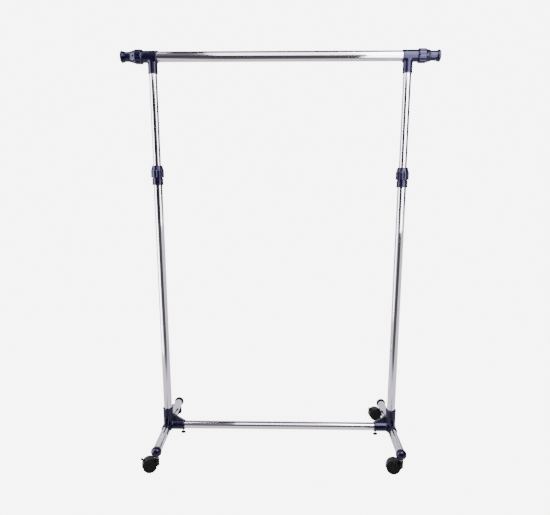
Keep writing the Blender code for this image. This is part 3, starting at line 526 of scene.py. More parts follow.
# %% Base connector
GAP = 0.0003
LOWER_RADIUS = extent("lower_upright_left", 0) / 2 / FACET
FOOT_RADIUS = extent("foot_tube_left", 0) / 2 / FACET
POST_RADIUS = LOWER_RADIUS + GAP + 0.0029
SADDLE_RADIUS = FOOT_RADIUS + GAP + 0.0032
CROSS_RADIUS = FOOT_RADIUS + GAP + 0.0023
POST_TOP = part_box("base_connector_left")[1].z - FOOT_HEIGHT
CROSS_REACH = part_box("base_connector_left")[1].x + HALF_SPACING
SADDLE_HALF = extent("base_connector_left", 1) / 2
SOCKET_RIM = 0.0009
GUSSET_RISE = 0.037
GUSSET_HALF = 0.0058
FIN_OFFSET = 0.0052
FIN_RISE = 0.036
FIN_REACH = 0.0150
FIN_HALF = 0.0012
SADDLE_OPEN = math.radians(10)
SOFT = 0.0028
RIM_EDGE = 0.0009
RIM_SOFT = 0.0010


def connector(place):
    """Left connector about the point where the upright's axis meets the foot tube's."""
    x, y, z = place
    body = bar(place, 2, POST_RADIUS, 0.0, POST_TOP, 0.0008)
    rim = bar(place, 2, POST_RADIUS + SOCKET_RIM * 0.6, POST_TOP - 0.0035, POST_TOP, RIM_EDGE)
    saddle = bar(place, 1, SADDLE_RADIUS, -SADDLE_HALF, SADDLE_HALF, 0.0007)
    under = z + SADDLE_RADIUS * math.sin(SADDLE_OPEN)
    saddle = cut(saddle, under, 0.0012)
    cross = bar(place, 0, CROSS_RADIUS, 0.0, CROSS_REACH, 0.0008)
    cross_rim = bar(
        place, 0, CROSS_RADIUS + SOCKET_RIM * 0.5, CROSS_REACH - 0.003, CROSS_REACH, RIM_EDGE
    )
    gusset = plate(
        place,
        [
            (0, 0), (CROSS_REACH - 0.001, 0), (CROSS_REACH - 0.001, CROSS_RADIUS - 0.001),
            (POST_RADIUS, GUSSET_RISE), (0, GUSSET_RISE),
        ],
        1, (0, 2), GUSSET_HALF,
    )
    body = joined(body, rim, RIM_SOFT)
    body = joined(body, saddle, SOFT)
    body = joined(body, joined(cross, cross_rim, RIM_SOFT), SOFT)
    body = joined(body, gusset, 0.0022)
    along = [np.abs(y), np.abs(x) - FIN_OFFSET, z]
    fin = plate(
        along,
        [
            (0, 0), (POST_RADIUS + FIN_REACH, SADDLE_RADIUS - 0.0016),
            (POST_RADIUS - 0.0005, FIN_RISE), (0, FIN_RISE),
        ],
        1, (0, 2), FIN_HALF,
    )
    body = joined(body, fin, 0.0012)
    tube_way = np.hypot(x, z) - FOOT_RADIUS - GAP
    floor_z = SADDLE_RADIUS + 0.0015
    post_bore = bar(place, 2, LOWER_RADIUS + GAP, floor_z, 2 * POST_TOP)
    cross_bore = bar(place, 0, FOOT_RADIUS + GAP, floor_z, 2 * CROSS_REACH)
    for bore in (tube_way, post_bore, cross_bore):
        body = cut(body, bore, 0.0007)
    return body


connector_mesh = moulded(
    "connector",
    (-SADDLE_RADIUS - 0.002, -SADDLE_HALF, -SADDLE_RADIUS),
    (CROSS_REACH, SADDLE_HALF, POST_TOP),
    0.0007,
    connector,
)
for side, sign in SIDES.items():
    corner = Matrix.Translation((sign * HALF_SPACING, 0, FOOT_HEIGHT)) @ TURN[side]
    put(connector_mesh, "base_connector_" + side, corner, "navy_plastic")

# %% [markdown]
# ## Wing screws
#
# A small wing screw clamps each crossbar end from below, and another stands on each foot
# tube: a threaded shank, a round hub and two rounded ears.  The thread is real relief
# here: the shank's radius rises and falls along a helix.

# %% Wing screws
PITCH = 0.0008
HUB = 0.0028
WING = 0.0080
EAR = 0.0039
EAR_OFFSET = 0.0036
EAR_HALF = 0.0015
STALK = 0.0018


def winged(place, way, hub_end, tip, shank):
    """Wing screw along Z: `way` is +1 when its hub ends above its shank, -1 when below."""
    x, y, z = place
    turn = np.arctan2(y, x) / (2 * np.pi)
    thread = 0.00018 * np.cos(2 * np.pi * (z / PITCH - turn))
    neck = hub_end - way * WING
    inside = neck + way * 0.003
    stem = bar(place, 2, shank - 0.00012, min(tip, inside), max(tip, inside), 0.0004) - thread
    hub = bar(place, 2, HUB, min(neck, hub_end), max(neck, hub_end), 0.0009)
    beside = z - hub_end + way * EAR
    ear = bar([np.abs(x) - EAR_OFFSET, y, beside], 1, EAR, -EAR_HALF, EAR_HALF, 0.0011)
    stalk = bar([np.abs(x) - 0.0028, y, beside], 1, STALK, -0.0012, 0.0012, 0.0006)
    return joined(joined(hub, joined(ear, stalk, 0.0012), 0.0016), stem, 0.0003)


WING_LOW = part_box("wing_screw_left")[0].z - FOOT_HEIGHT
SCREW_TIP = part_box("wing_screw_left")[1].z - FOOT_HEIGHT
WING_REACH = EAR_OFFSET + EAR
wing_mesh = moulded(
    "wing_screw", (-WING_REACH, -0.003, WING_LOW), (WING_REACH, 0.003, SCREW_TIP), 0.00022,
    lambda place: winged(place, -1, WING_LOW, SCREW_TIP, 0.0020),
)
for side in SIDES:
    spot = middle("wing_screw_" + side)
    below = Matrix.Translation((spot.x, spot.y, FOOT_HEIGHT))
    put(wing_mesh, "wing_screw_" + side, below, "black_screw")

# %% Wing screws on the feet
LEAN = math.radians(40)
SCREW_IN = -0.0060
SCREW_OUT = 0.0120
foot_screw_mesh = moulded(
    "foot_screw", (-WING_REACH, -0.003, SCREW_IN), (WING_REACH, 0.003, SCREW_OUT), 0.00022,
    lambda place: winged(place, 1, SCREW_OUT, SCREW_IN, 0.0018),
)
for side, sign in SIDES.items():
    tilt = -sign * LEAN
    seat = Vector((math.sin(tilt), 0.0, math.cos(tilt))) * FOOT_RADIUS
    spot = Vector((sign * HALF_SPACING, middle("foot_screw_" + side).y, FOOT_HEIGHT)) + seat
    along_tube = Matrix.Rotation(math.pi / 2, 4, "Z")
    place = Matrix.Translation(spot) @ Matrix.Rotation(tilt, 4, "Y") @ along_tube
    put(foot_screw_mesh, "foot_screw_" + side, place, "black_screw")

# %% [markdown]
# ## Ball caps
#
# A hollow ball closes each end of a foot tube.  It is glossy, with the thin line that the
# two halves of the mould leave round it.  The profile is most of a circle, then a short
# lip round the tube and the spigot inside it.

# %% Ball caps
BALL = extent("foot_cap_front_left", 0) / 2 / FACET
TUBE_STOP = 0.0050
SPIGOT = FOOT_RADIUS - FOOT_WALL - GAP
SPIGOT_END = TUBE_STOP + 0.0200
lip = math.acos((FOOT_RADIUS + GAP) / BALL)
sweep = np.linspace(-np.pi / 2, lip, 40)
seam = 0.00012 * np.exp(-((sweep / 0.03) ** 2))
ball_profile = np.vstack([
    np.column_stack([(BALL + seam) * np.cos(sweep), (BALL + seam) * np.sin(sweep)]),
    rounded(
        [(FOOT_RADIUS + GAP, TUBE_STOP), (SPIGOT, TUBE_STOP), (SPIGOT, SPIGOT_END), (0.0, SPIGOT_END)],
        (0.0, 0.0002, 0.0008, 0.0),
    ),
])
ball_profile[0, 0] = 0.0
ball_mesh = turned("ball_cap", ball_profile)
for end, way in (("front", -1.0), ("rear", 1.0)):
    for side in SIDES:
        name = "foot_cap_" + end + "_" + side
        spot = Vector((SIDES[side] * HALF_SPACING, 0.0, FOOT_HEIGHT))
        spot.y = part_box(name)[0].y + BALL if way < 0 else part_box(name)[1].y - BALL
        facing = Matrix.Rotation(way * math.pi / 2, 4, "X")
        put(ball_mesh, name, Matrix.Translation(spot) @ facing, "navy_plastic")
        print(name, "at", [round(c, 4) for c in spot])

# %% [markdown]
# ## Height locks
#
# A collar is pressed on the top of each lower upright.  Above it sits a fluted twist nut,
# which squeezes the collar's nose round the upper upright.  The nut's radius is its
# profile less a groove that repeats eight times round, and the grooves fade out where the
# nut starts to taper.

# %% Collars and fluted nuts
UPPER_RADIUS = extent("upper_upright_left", 0) / 2 / FACET
COLLAR_HEIGHT = extent("height_collar_left", 2)
COLLAR_BASE = 0.0180
COLLAR_TOP = 0.0205
COLLAR_LIP = 0.01625
COLLAR_BODY = 0.01575
COLLAR_NECK = 0.0146
COLLAR_SEAT = 0.0143
NOSE = 0.0132
collar_profile = rounded([
    (LOWER_RADIUS + GAP, 0.0),
    (COLLAR_LIP, 0.0),
    (COLLAR_LIP, 0.0030),
    (COLLAR_BODY, 0.0036),
    (COLLAR_BODY, COLLAR_BASE - 0.0036),
    (COLLAR_LIP, COLLAR_BASE - 0.0030),
    (COLLAR_LIP, COLLAR_BASE),
    (COLLAR_NECK, COLLAR_BASE),
    (COLLAR_NECK, COLLAR_TOP),
    (NOSE, COLLAR_TOP),
    (NOSE, COLLAR_HEIGHT),
    (UPPER_RADIUS + GAP, COLLAR_HEIGHT),
    (UPPER_RADIUS + GAP, COLLAR_SEAT),
    (LOWER_RADIUS + GAP, COLLAR_SEAT),
], 0.0005)
collar_mesh = turned("height_collar", collar_profile)

LOBES = 8


def fluted(name, length, radius, tip, lobed, bore, way, shoulder, flute, columns=192):
    """Twist nut about Z: r = profile(z) - flute * groove(angle) * fade(z).

    The groove is a raised cosine cubed, so the ridges stay broad.
    """
    neck = lobed + 0.30 * (length - lobed)
    profile = rounded([
        (bore, 0.0), (radius - 0.0012, 0.0), (radius, 0.0016), (radius, lobed),
        (0.55 * radius + 0.45 * tip, neck), (tip, length - 0.0022), (tip, length),
        (way, length), (way, shoulder + bore - way), (bore, shoulder),
    ], (0.0002, 0.0006, 0.0008, 0.0030, 0.0030, 0.0012, 0.0007, 0.0003, 0.0002, 0.0002), steps=7)
    fine = [profile[:1]]
    for start, end in zip(profile[:-1], profile[1:]):
        count = max(1, int(np.linalg.norm(end - start) / 0.0009))
        fine.append(start + (end - start) * np.linspace(0, 1, count + 1)[1:, None])
    profile = np.vstack(fine)
    angle = np.linspace(0.0, 2 * np.pi, columns, endpoint=False)
    groove = (0.5 + 0.5 * np.cos(LOBES * angle)) ** 3
    height = profile[:, 1:]
    outer = profile[:, :1] > (bore + radius) / 2 - 0.0002
    fade = np.clip((height - 0.0012) / 0.002, 0, 1) * np.clip((neck + 0.001 - height) / 0.004, 0, 1)
    fade = fade * fade * (3 - 2 * fade) * outer
    reach = profile[:, :1] - flute * groove * fade
    grid = np.stack([reach * np.cos(angle), reach * np.sin(angle), height + 0 * angle], axis=-1)
    return skin(name, grid)


nut_mesh = fluted(
    "height_nut",
    extent("height_nut_left", 2),
    0.0187, 0.0150, 0.0200, NOSE + 0.0006, UPPER_RADIUS + 0.0006, 0.0282, 0.0019,
)
for side, sign in SIDES.items():
    for mesh, name in ((collar_mesh, "height_collar_"), (nut_mesh, "height_nut_")):
        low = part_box(name + side)[0].z
        put(mesh, name + side, Matrix.Translation((sign * HALF_SPACING, 0, low)), "navy_plastic")
print(f"height nut {1000 * extent('height_nut_left', 2):.1f} mm tall")

# %% [markdown]
# ## Top tees
#
# The tee is another moulding: a sleeve round the rail with a raised lip at each end, a
# socket for the upright, and a split nose on the outside for the rail nut.

# %% Tees
RAIL_RADIUS = extent("top_rail", 2) / 2 / FACET
ROD_RADIUS = extent("rail_rod_left", 2) / 2 / FACET
TEE_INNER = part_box("top_tee_left")[1].x + HALF_SPACING
NOSE_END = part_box("top_tee_left")[0].x + HALF_SPACING
TEE_OUTER = NOSE_END + 0.026
TEE_DROP = RAIL_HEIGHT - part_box("top_tee_left")[0].z
SLEEVE = RAIL_RADIUS + GAP + 0.0017
TEE_POST = UPPER_RADIUS + GAP + 0.0019
RAIL_NOSE = 0.0146


def tee(place):
    """Left tee about the point where the upright's axis meets the rail's."""
    x, y, z = place
    body = bar(place, 0, SLEEVE, TEE_OUTER, TEE_INNER, 0.0006)
    for start, end in ((TEE_OUTER, TEE_OUTER + 0.002), (TEE_INNER - 0.002, TEE_INNER)):
        body = joined(body, bar(place, 0, SLEEVE + 0.0006, start, end, 0.0006), 0.0006)
    post = bar(place, 2, TEE_POST, -TEE_DROP, 0.0, 0.0006)
    foot = bar(place, 2, TEE_POST + 0.0004, -TEE_DROP, -TEE_DROP + 0.0022, 0.0006)
    body = joined(body, joined(post, foot, 0.0006), 0.0030)
    body = joined(body, bar(place, 0, RAIL_NOSE, NOSE_END, TEE_OUTER + 0.001, 0.0006), 0.0005)
    way = bar(place, 0, ROD_RADIUS + GAP, 2 * NOSE_END, 0.0)
    bore = bar(place, 0, RAIL_RADIUS + GAP, TEE_OUTER, 2 * TEE_INNER)
    post_bore = bar(place, 2, UPPER_RADIUS + GAP, -2 * TEE_DROP, -RAIL_RADIUS - GAP - 0.0022)
    split = np.maximum(np.minimum(np.abs(y), np.abs(z)) - 0.0007, x - NOSE_END - 0.017)
    for room in (way, bore, post_bore, split):
        body = cut(body, room, 0.0005)
    return body


tee_mesh = moulded(
    "top_tee", (NOSE_END, -SLEEVE, -TEE_DROP), (TEE_INNER, SLEEVE, SLEEVE), 0.0006, tee
)
for side, sign in SIDES.items():
    corner = Matrix.Translation((sign * HALF_SPACING, 0, RAIL_HEIGHT)) @ TURN[side]
    put(tee_mesh, "top_tee_" + side, corner, "navy_plastic")

# %% [markdown]
# ## Rail nuts and end caps
#
# The rail nut is the height nut's cousin, lying on its side: it squeezes the tee's nose on
# the extension rod.  The end cap is a small spool: a narrow waist that flares to a round
# flange, which keeps hangers on.

# %% Rail nuts, caps and plugs
OUTWARD = {side: Matrix.Rotation(sign * math.pi / 2, 4, "Y") for side, sign in SIDES.items()}
RAIL_NUT = cad_high.z - RAIL_HEIGHT - 0.0001
rail_nut_mesh = fluted(
    "rail_nut",
    extent("rail_nut_left", 0),
    RAIL_NUT, 0.0148, 0.0185, RAIL_NOSE + 0.0006, ROD_RADIUS + 0.0006, 0.0272, 0.0020,
)
CAP = extent("rod_cap_left", 0)
CAP_RIM = 0.0159
CAP_FACE = 0.0033
WAIST = 0.0134
cap_profile = rounded([
    (0.0, CAP - 0.0004), (CAP_RIM - 0.0022, CAP), (CAP_RIM, CAP - 0.0016), (CAP_RIM, CAP - 0.0055),
    (WAIST + 0.0004, CAP - 0.0100), (WAIST - 0.0003, CAP - 0.0150), (WAIST, 0.0),
    (ROD_RADIUS + GAP, 0.0), (ROD_RADIUS + GAP, CAP - CAP_FACE), (0.0, CAP - CAP_FACE),
], (0.0, 0.0012, 0.0012, 0.0020, 0.0040, 0.0060, 0.0006, 0.0002, 0.0002, 0.0), steps=7)
cap_mesh = turned("rod_cap", cap_profile)
PLUG_FLANGE = 0.0040
PLUG_LENGTH = PLUG_FLANGE + 0.012


def rail_end(node, side):
    """The place of a piece on the rail's end, from the box face that looks inward."""
    low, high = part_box(node + side)
    inner = high.x if side == "left" else low.x
    return Matrix.Translation((inner, 0, RAIL_HEIGHT)) @ OUTWARD[side]


for side in SIDES:
    for mesh, name in ((rail_nut_mesh, "rail_nut_"), (cap_mesh, "rod_cap_")):
        put(mesh, name + side, rail_end(name, side), "navy_plastic")


def plug(name, flange, spigot):
    """Grey guide plug: a flange that rides in the outer tube and a spigot in the inner one."""
    return turned(name, rounded([
        (0.0, 0.0), (flange, 0.0), (flange, PLUG_FLANGE - GAP), (spigot, PLUG_FLANGE - GAP),
        (spigot, PLUG_LENGTH), (0.0, PLUG_LENGTH),
    ], (0.0, 0.0006, 0.0003, 0.0001, 0.0008, 0.0)))


rod_plug = plug("rod_plug", RAIL_RADIUS - PLAIN_WALL - GAP, ROD_RADIUS - PLAIN_WALL - GAP)
upright_plug = plug("upright_plug", LOWER_RADIUS - PLAIN_WALL - GAP, UPPER_RADIUS - PLAIN_WALL - GAP)
for side, sign in SIDES.items():
    put(rod_plug, "rod_plug_" + side, rail_end("rod_plug_", side), "grey_plastic")
    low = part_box("upright_plug_" + side)[0].z
    foot = Matrix.Translation((sign * HALF_SPACING, 0, low))
    put(upright_plug, "upright_plug_" + side, foot, "grey_plastic")
print(f"end caps {1000 * CAP:.1f} mm long, nut {2000 * RAIL_NUT:.1f} mm across")

# %% [markdown]
# ## Casters
#
# Each caster trails its own way, so its heading is read from the working model: the axle's
# centre seen from the stem's.  A hood of one moulding covers both wheels, with a web
# between them and a boss round the stem.  Two casters, at opposite corners, have a brake
# lever through a slot in the hood.

# %% Hood
PLACES = ["front_left", "front_right", "rear_left", "rear_right"]
BRAKED = [place for place in PLACES if "caster_brake_" + place in frame["nodes"]]
AXLE_HEIGHT = middle("caster_axle_front_left").z
TRAIL = (middle("caster_axle_front_left") - middle("caster_stem_front_left")).to_2d().length
BOSS_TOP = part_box("caster_stem_front_left")[1].z - 0.0218
HOOD_IN = 0.0209
HOOD_OUT = 0.0224
HOOD_HALF = 0.0150
HOOD_SKIRT = math.radians(12)
WEB_HALF = 0.0056
BRAKE_TILT = math.radians(44)
BRAKE_PIVOT = 0.0165
BRAKE_HALF = 0.0032
SLOT_HALF = 0.0037
SLOT_RISE = 0.0046
SLOT_END = 0.033


def tilted(place):
    """Places seen from the axle along the brake lever's slope."""
    x, y, z = place[0] - TRAIL, place[1], place[2] - AXLE_HEIGHT
    c, s = math.cos(BRAKE_TILT), math.sin(BRAKE_TILT)
    return [c * x + s * z, y, c * z - s * x]


def hood(place, braked):
    """Hood about the swivel axis on the floor, trailing towards +X."""
    y = place[1]
    dx, dz = place[0] - TRAIL, place[2] - AXLE_HEIGHT
    from_axle = np.hypot(dx, dz)
    under = np.abs(dx) * math.sin(HOOD_SKIRT) + dz * math.cos(HOOD_SKIRT)
    crown = 0.0007 * np.clip(np.abs(y) / HOOD_HALF, 0, 1) ** 4
    shell = cut(from_axle - HOOD_OUT + crown, HOOD_HALF - np.abs(y), 0.0016)
    rooms = np.maximum(from_axle - HOOD_IN, WEB_HALF - np.abs(y))
    body = cut(shell, rooms, 0.0005)
    body = cut(body, under, 0.0010)
    hub = bar([dx, y, dz], 1, 0.0070, -WEB_HALF, WEB_HALF, 0.0006)
    boss = bar(place, 2, 0.0075, AXLE_HEIGHT - 0.0035, BOSS_TOP, 0.0008)
    boss = np.maximum(boss, -rooms)
    body = joined(joined(body, hub, 0.0015), boss, 0.0024)
    body = np.maximum(body, -rooms)
    stem_hole = bar(place, 2, 0.0039, BOSS_TOP - 0.0145, 2 * BOSS_TOP)
    body = cut(body, stem_hole, 0.0004)
    body = cut(body, bar([dx, y, dz], 1, 0.0023, -0.05, 0.05), 0.0003)
    if braked:
        slot_low = (BRAKE_PIVOT - 0.005, -SLOT_HALF, -SLOT_RISE)
        slot = block(tilted(place), slot_low, (SLOT_END, SLOT_HALF, SLOT_RISE))
        body = cut(body, slot, 0.0005)
    return body


HOOD_BOX = (
    (-0.0080, -HOOD_HALF, 0.0120),
    (TRAIL + HOOD_OUT, HOOD_HALF, AXLE_HEIGHT + HOOD_OUT),
)
hood_mesh = {
    braked: moulded("hood", *HOOD_BOX, 0.00045, lambda place, braked=braked: hood(place, braked))
    for braked in (False, True)
}

# %% [markdown]
# A wheel is turned from one profile too: a slightly crowned tread, a raised rim, a dished
# face and a domed hub.  Five shallow pockets between rim and hub come from lowering the
# face by a wave that repeats five times round.

# %% Wheels, axles, stems and brake levers
WHEEL = AXLE_HEIGHT
WHEEL_WIDTH = 0.0090
WHEEL_ASIDE = 0.0063
BORE = 0.0022
BORE_END = 0.0062
POCKETS = 5
wheel_rows = rounded([
    (BORE, 0.0), (WHEEL - 0.0014, 0.0), (WHEEL, 0.0012), (WHEEL, WHEEL_WIDTH - 0.0016),
    (WHEEL - 0.0016, WHEEL_WIDTH), (WHEEL - 0.0046, WHEEL_WIDTH),
    (WHEEL - 0.0054, WHEEL_WIDTH - 0.0010), (0.0070, WHEEL_WIDTH - 0.0012),
    (0.0062, WHEEL_WIDTH - 0.0004), (0.0, WHEEL_WIDTH - 0.0002),
    (0.0, BORE_END), (BORE, BORE_END),
], (0.0002, 0.0010, 0.0016, 0.0016, 0.0008, 0.0005, 0.0006, 0.0006, 0.0007, 0.0, 0.0, 0.0002), steps=6)
face_rows = []
for start, end in zip(wheel_rows, np.roll(wheel_rows, -1, axis=0)):
    count = max(1, int(np.linalg.norm(end - start) / 0.0010))
    face_rows.append(start + (end - start) * np.linspace(0, 1, count, endpoint=False)[:, None])
wheel_rows = np.vstack(face_rows)
angle = np.linspace(0.0, 2 * np.pi, 120, endpoint=False)
out, height = wheel_rows[:, :1], wheel_rows[:, 1:]
band = np.clip((out - 0.0078) / 0.0010, 0, 1) * np.clip((WHEEL - 0.0062 - out) / 0.0010, 0, 1)
wave = np.clip(0.5 + 1.6 * np.cos(POCKETS * angle), 0, 1)
sunk = 0.0007 * band * wave * (height > 0.0070)
wheel_mesh = skin("caster_wheel", np.stack(
    [out * np.cos(angle), out * np.sin(angle), height - sunk], axis=-1
))

AXLE = 0.0020
AXLE_HALF = 0.0126
STEM = 0.0035
FLANGE = 0.0062
axle_mesh = turned("caster_axle", rounded(
    [(0.0, -AXLE_HALF), (AXLE, -AXLE_HALF), (AXLE, AXLE_HALF), (0.0, AXLE_HALF)],
    (0.0, 0.0005, 0.0005, 0.0),
), 48)
stem_low, stem_top = (corner.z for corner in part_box("caster_stem_front_left"))
flange_low = BOSS_TOP + 0.0005
flange_top = flange_low + 0.0015
stem_mesh = turned("caster_stem", rounded([
    (0.0, stem_low), (STEM, stem_low), (STEM, flange_low), (FLANGE, flange_low),
    (FLANGE, flange_top), (STEM, flange_top), (STEM, stem_top), (0.0, stem_top),
], (0.0, 0.0006, 0.0002, 0.0004, 0.0004, 0.0002, 0.0006, 0.0)), 64)

LEVER_END = 0.0328
REACH = LEVER_END - BRAKE_PIVOT
LEVER_HALF = 0.0016
PAD_HALF = 0.0026
RIB_PITCH = 0.0013


def brake(place):
    """Brake lever about its trunnions, with three grip ribs on its pad."""
    x, y, z = place
    lever_ends = (-0.0025, -BRAKE_HALF, -LEVER_HALF), (REACH - 0.003, BRAKE_HALF, LEVER_HALF)
    pad_ends = (REACH - 0.0050, -BRAKE_HALF, -PAD_HALF), (REACH, BRAKE_HALF, PAD_HALF)
    body = joined(block(place, *lever_ends, 0.0006), block(place, *pad_ends, 0.0009), 0.0014)
    ribs = np.abs(((x - REACH) / RIB_PITCH) % 1.0 - 0.5) * RIB_PITCH - 0.0003
    ribs = np.maximum(np.maximum(ribs, np.abs(x - REACH + 0.0028) - 0.0020), np.abs(y) - 0.0022)
    ribs = np.maximum(ribs, np.abs(z) - 0.0028)
    body = joined(body, ribs, 0.0003)
    pin = bar(place, 1, 0.0014, -WEB_HALF + GAP, WEB_HALF - GAP, 0.0003)
    return joined(body, pin, 0.0006)


brake_mesh = moulded(
    "brake_lever", (-0.003, -WEB_HALF, -0.0032), (REACH, WEB_HALF, 0.0032), 0.00022, brake
)

# %% Casters in place
for place in PLACES:
    stem = middle("caster_stem_" + place)
    axle = middle("caster_axle_" + place)
    heading = math.atan2(axle.y - stem.y, axle.x - stem.x)
    swivel = Matrix.Translation((stem.x, stem.y, 0)) @ Matrix.Rotation(heading, 4, "Z")
    on_axle = swivel @ Matrix.Translation((TRAIL, 0, AXLE_HEIGHT))
    put(stem_mesh, "caster_stem_" + place, swivel, "plain_steel")
    put(hood_mesh[place in BRAKED], "caster_hood_" + place, swivel, "black_plastic")
    put(axle_mesh, "caster_axle_" + place, on_axle @ LAID[1], "plain_steel")
    for letter, way in (("a", 1.0), ("b", -1.0)):
        aside = Matrix.Translation((0, way * WHEEL_ASIDE, 0))
        seat = aside @ Matrix.Rotation(-way * math.pi / 2, 4, "X")
        put(wheel_mesh, "caster_wheel_" + place + "_" + letter, on_axle @ seat, "black_tread")
    if place in BRAKED:
        slope = Matrix.Rotation(-BRAKE_TILT, 4, "Y") @ Matrix.Translation((BRAKE_PIVOT, 0, 0))
        put(brake_mesh, "caster_brake_" + place, on_axle @ slope, "black_plastic")
    print(f"caster {place} trails at {math.degrees(heading):.0f} degrees")

# %% [markdown]
# ## Floor, light and camera
#
# The rack stands on a plain pale floor in a pale room, and the camera sees both as one even
# tone.  Chrome shows what is round it, so the room that the tubes mirror is set apart from
# the one that the camera sees.  The Light Path node tells the two kinds of ray apart.  To
# the tubes, the floor is a soft glow that falls off in a wedge towards the front.

# %% Floor
FLOOR_HALF = 30.0
PALE = 7.0
FLOOR_GLOW = 1.1
SHADE_GLOW = 0.09
SHADE_REACH = (-0.36, -0.60)
SHADE_SIDES = ((0.85, 0.65), (-0.95, -0.70))
floor_mesh = bpy.data.meshes.new("floor")
corners = [(x * FLOOR_HALF, y * FLOOR_HALF, 0) for x, y in ((-1, -1), (1, -1), (1, 1), (-1, 1))]
floor_mesh.from_pydata(corners, [], [(0, 1, 2, 3)])
floor = bpy.data.objects.new("floor", floor_mesh)
bpy.context.collection.objects.link(floor)
floor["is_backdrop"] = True
paint = bpy.data.materials.new("pale_floor")
paint.use_nodes = True
tree = paint.node_tree
shader = tree.nodes["Principled BSDF"]
shader.inputs["Base Color"].default_value = (0.03, 0.03, 0.03, 1.0)
shader.inputs["Specular IOR Level"].default_value = 0.0
shader.inputs["Roughness"].default_value = 0.9
shader.inputs["Emission Color"].default_value = (1.0, 1.0, 1.0, 1.0)
spot = node(tree, "SeparateXYZ", {"Vector": node(tree, "TexCoord").outputs["Object"]}).outputs
slant = calc(tree, "DIVIDE", spot["X"], calc(tree, "MINIMUM", spot["Y"], -0.1))
wedge = calc(tree, "MULTIPLY", *(spread(tree, slant, *ends) for ends in SHADE_SIDES))
shade = calc(tree, "MULTIPLY", spread(tree, spot["Y"], *SHADE_REACH), wedge)
seen = node(tree, "LightPath").outputs["Is Camera Ray"]
glow = spread(tree, shade, 0.0, 1.0, FLOOR_GLOW, SHADE_GLOW)
shown = node(tree, "Mix", {0: seen, 2: glow, 3: PALE}).outputs[0]
tree.links.new(shown, shader.inputs["Emission Strength"])
floor_mesh.materials.append(paint)
print("floor glow", FLOOR_GLOW, "in the mirror,", PALE, "to the camera")

# %% [markdown]
# The world is painted by direction, which costs no noise: light behind, darker to the
# right, and a dark gap in front where the camera stands.  An upright mirrors a whole
# circle round it, so the first table goes round.  The rail and the crossbar lie flat and
# mirror what is above and below, so the second goes up and down and takes over in front.

# %% World
SIDES_GLOW = [
    (-180, 1.1), (-130, 1.0), (-112, 0.9), (-92, 0.8), (-80, 0.5), (-50, 0.25), (-40, 0.05), (24, 0.05),
    (36, 0.30), (60, 0.35), (74, 0.06), (98, 0.04), (108, 0.20), (144, 0.07), (156, 1.1), (180, 1.1),
]
FRONT_GLOW = [
    (-90, 1.0), (-36, 1.0), (-30, 0.35), (-20, 0.22), (-15, 0.04), (12, 0.04), (18, 0.30),
    (26, 0.12), (34, 0.15), (46, 0.45), (60, 0.10), (90, 0.05),
]
FRONT_SHARE = [(-180, 0.0), (-44, 0.0), (-38, 1.0), (22, 1.0), (30, 0.0), (180, 0.0)]
TOP_SCALE = 10.0
CEILING = (0.007, 0.007, 0.008)
UNDERNEATH = (0.042, 0.038, 0.041)


def strip(tree, value, table, span):
    """A colour ramp over an angle: each row is (degrees, glow)."""
    ramp = node(tree, "ValToRGB", {"Fac": value})
    stops = ramp.color_ramp.elements
    while len(stops) < len(table):
        stops.new(0.5)
    for stop, (degrees, glow) in zip(stops, table):
        stop.position = degrees / span + 0.5
        stop.color = (glow, glow, glow, 1.0)
    return ramp.outputs[0]


world = bpy.data.worlds.new("pale_room")
bpy.context.scene.world = world
world.use_nodes = True
tree = world.node_tree
tree.nodes.clear()
split = node(tree, "SeparateXYZ", {0: node(tree, "TexCoord").outputs["Generated"]}).outputs
around = calc(tree, "ARCTAN2", split["X"], calc(tree, "MULTIPLY", split["Y"], -1.0))
around = spread(tree, around, -math.pi, math.pi)
rise = spread(tree, calc(tree, "ARCSINE", split["Z"]), -math.pi / 2, math.pi / 2)
sides = strip(tree, around, [(a, g / TOP_SCALE) for a, g in SIDES_GLOW], 360)
sides = mixed(tree, spread(tree, split["Z"], 0.68, 0.80), sides, CEILING)
sides = mixed(tree, spread(tree, split["Z"], -0.78, -0.90), sides, UNDERNEATH)
front = strip(tree, rise, [(a, g / TOP_SCALE) for a, g in FRONT_GLOW], 180)
share = strip(tree, around, FRONT_SHARE, 360)
glow = mixed(tree, share, sides, front)
behind = node(tree, "Background", {"Color": glow, "Strength": TOP_SCALE})
white = node(tree, "Background", {"Color": (1.0, 1.0, 1.0, 1.0), "Strength": PALE})
seen = node(tree, "LightPath").outputs["Is Camera Ray"]
shown = node(tree, "MixShader", {0: seen, 1: behind.outputs[0], 2: white.outputs[0]})
node(tree, "OutputWorld", {"Surface": shown.outputs[0]})
print("world:", len(SIDES_GLOW), "stops round,", len(FRONT_GLOW), "up and down")

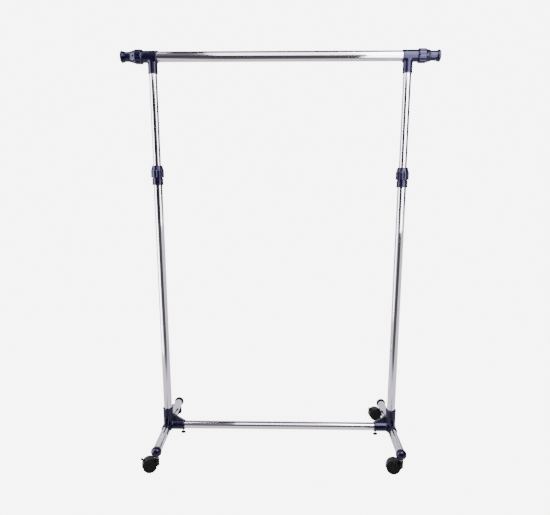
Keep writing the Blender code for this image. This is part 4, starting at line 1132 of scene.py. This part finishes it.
# %% [markdown]
# Three soft lamps stand for the panels of a studio.  One wide panel above the front gives
# the rail and the crossbar their bright band, and a narrow tall one to each side gives the
# uprights theirs.  They hide from the camera, since they stand in its view.

# %% Lamps: a panel above the front and a tall panel to each side
def lamp_panel(name, size, glow, place, turn):
    """A rectangular lamp of an even glow: its power is glow * pi * area."""
    panel = bpy.data.lights.new(name, "AREA")
    panel.shape = "RECTANGLE"
    panel.size, panel.size_y = size
    panel.energy = glow * math.pi * size[0] * size[1]
    lamp = bpy.data.objects.new(name, panel)
    lamp.location = place
    lamp.rotation_euler = [math.radians(angle) for angle in turn]
    lamp.visible_camera = False
    bpy.context.collection.objects.link(lamp)


lamp_panel("front_panel", (1.8, 1.30), 4.5, (0.50, -0.825, 1.835), (36.3, 0, 0))
lamp_panel("left_panel", (0.56, 3.4), 8.0, (-1.07, -0.307, 1.70), (90, 0, -50))
lamp_panel("right_panel", (0.49, 2.3), 9.0, (0.58, -0.48, 1.80), (90, 0, 27))
print("lamps:", [lamp.name for lamp in bpy.data.lights])

# %% [markdown]
# The camera stands in front, a little right of the middle and below the rail, and looks
# slightly down.  A small lens shift places the rack in the frame without turning it.

# %% Camera
EYE = Vector((0.0216, -1.5812, 0.8673))
DOWN = math.radians(12.20)
ASIDE = math.radians(-1.24)
FOCAL = 35.30
RISE = 0.0441
lens = bpy.data.cameras.new("camera")
lens.sensor_width = 36.0
lens.lens = FOCAL
lens.shift_y = RISE
camera = bpy.data.objects.new("camera", lens)
camera.location = EYE
look = Vector((
    math.sin(ASIDE) * math.cos(DOWN), math.cos(ASIDE) * math.cos(DOWN), -math.sin(DOWN),
))
camera.rotation_euler = look.to_track_quat("-Z", "Y").to_euler()
bpy.context.collection.objects.link(camera)
bpy.context.scene.camera = camera
print(f"camera {FOCAL:.0f} mm, {math.degrees(DOWN):.0f} degrees down")

# %% [markdown]
# Last, both models are measured and their boxes printed.  The finished pieces have to fit
# in the working model's box, so that what was checked for size and for clearance still
# holds.

# %% Measure the size of both models
low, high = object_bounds()
print("working model", [round(c, 4) for c in (*cad_low, *cad_high)])
print("finished model", [round(c, 4) for c in (*low, *high)])
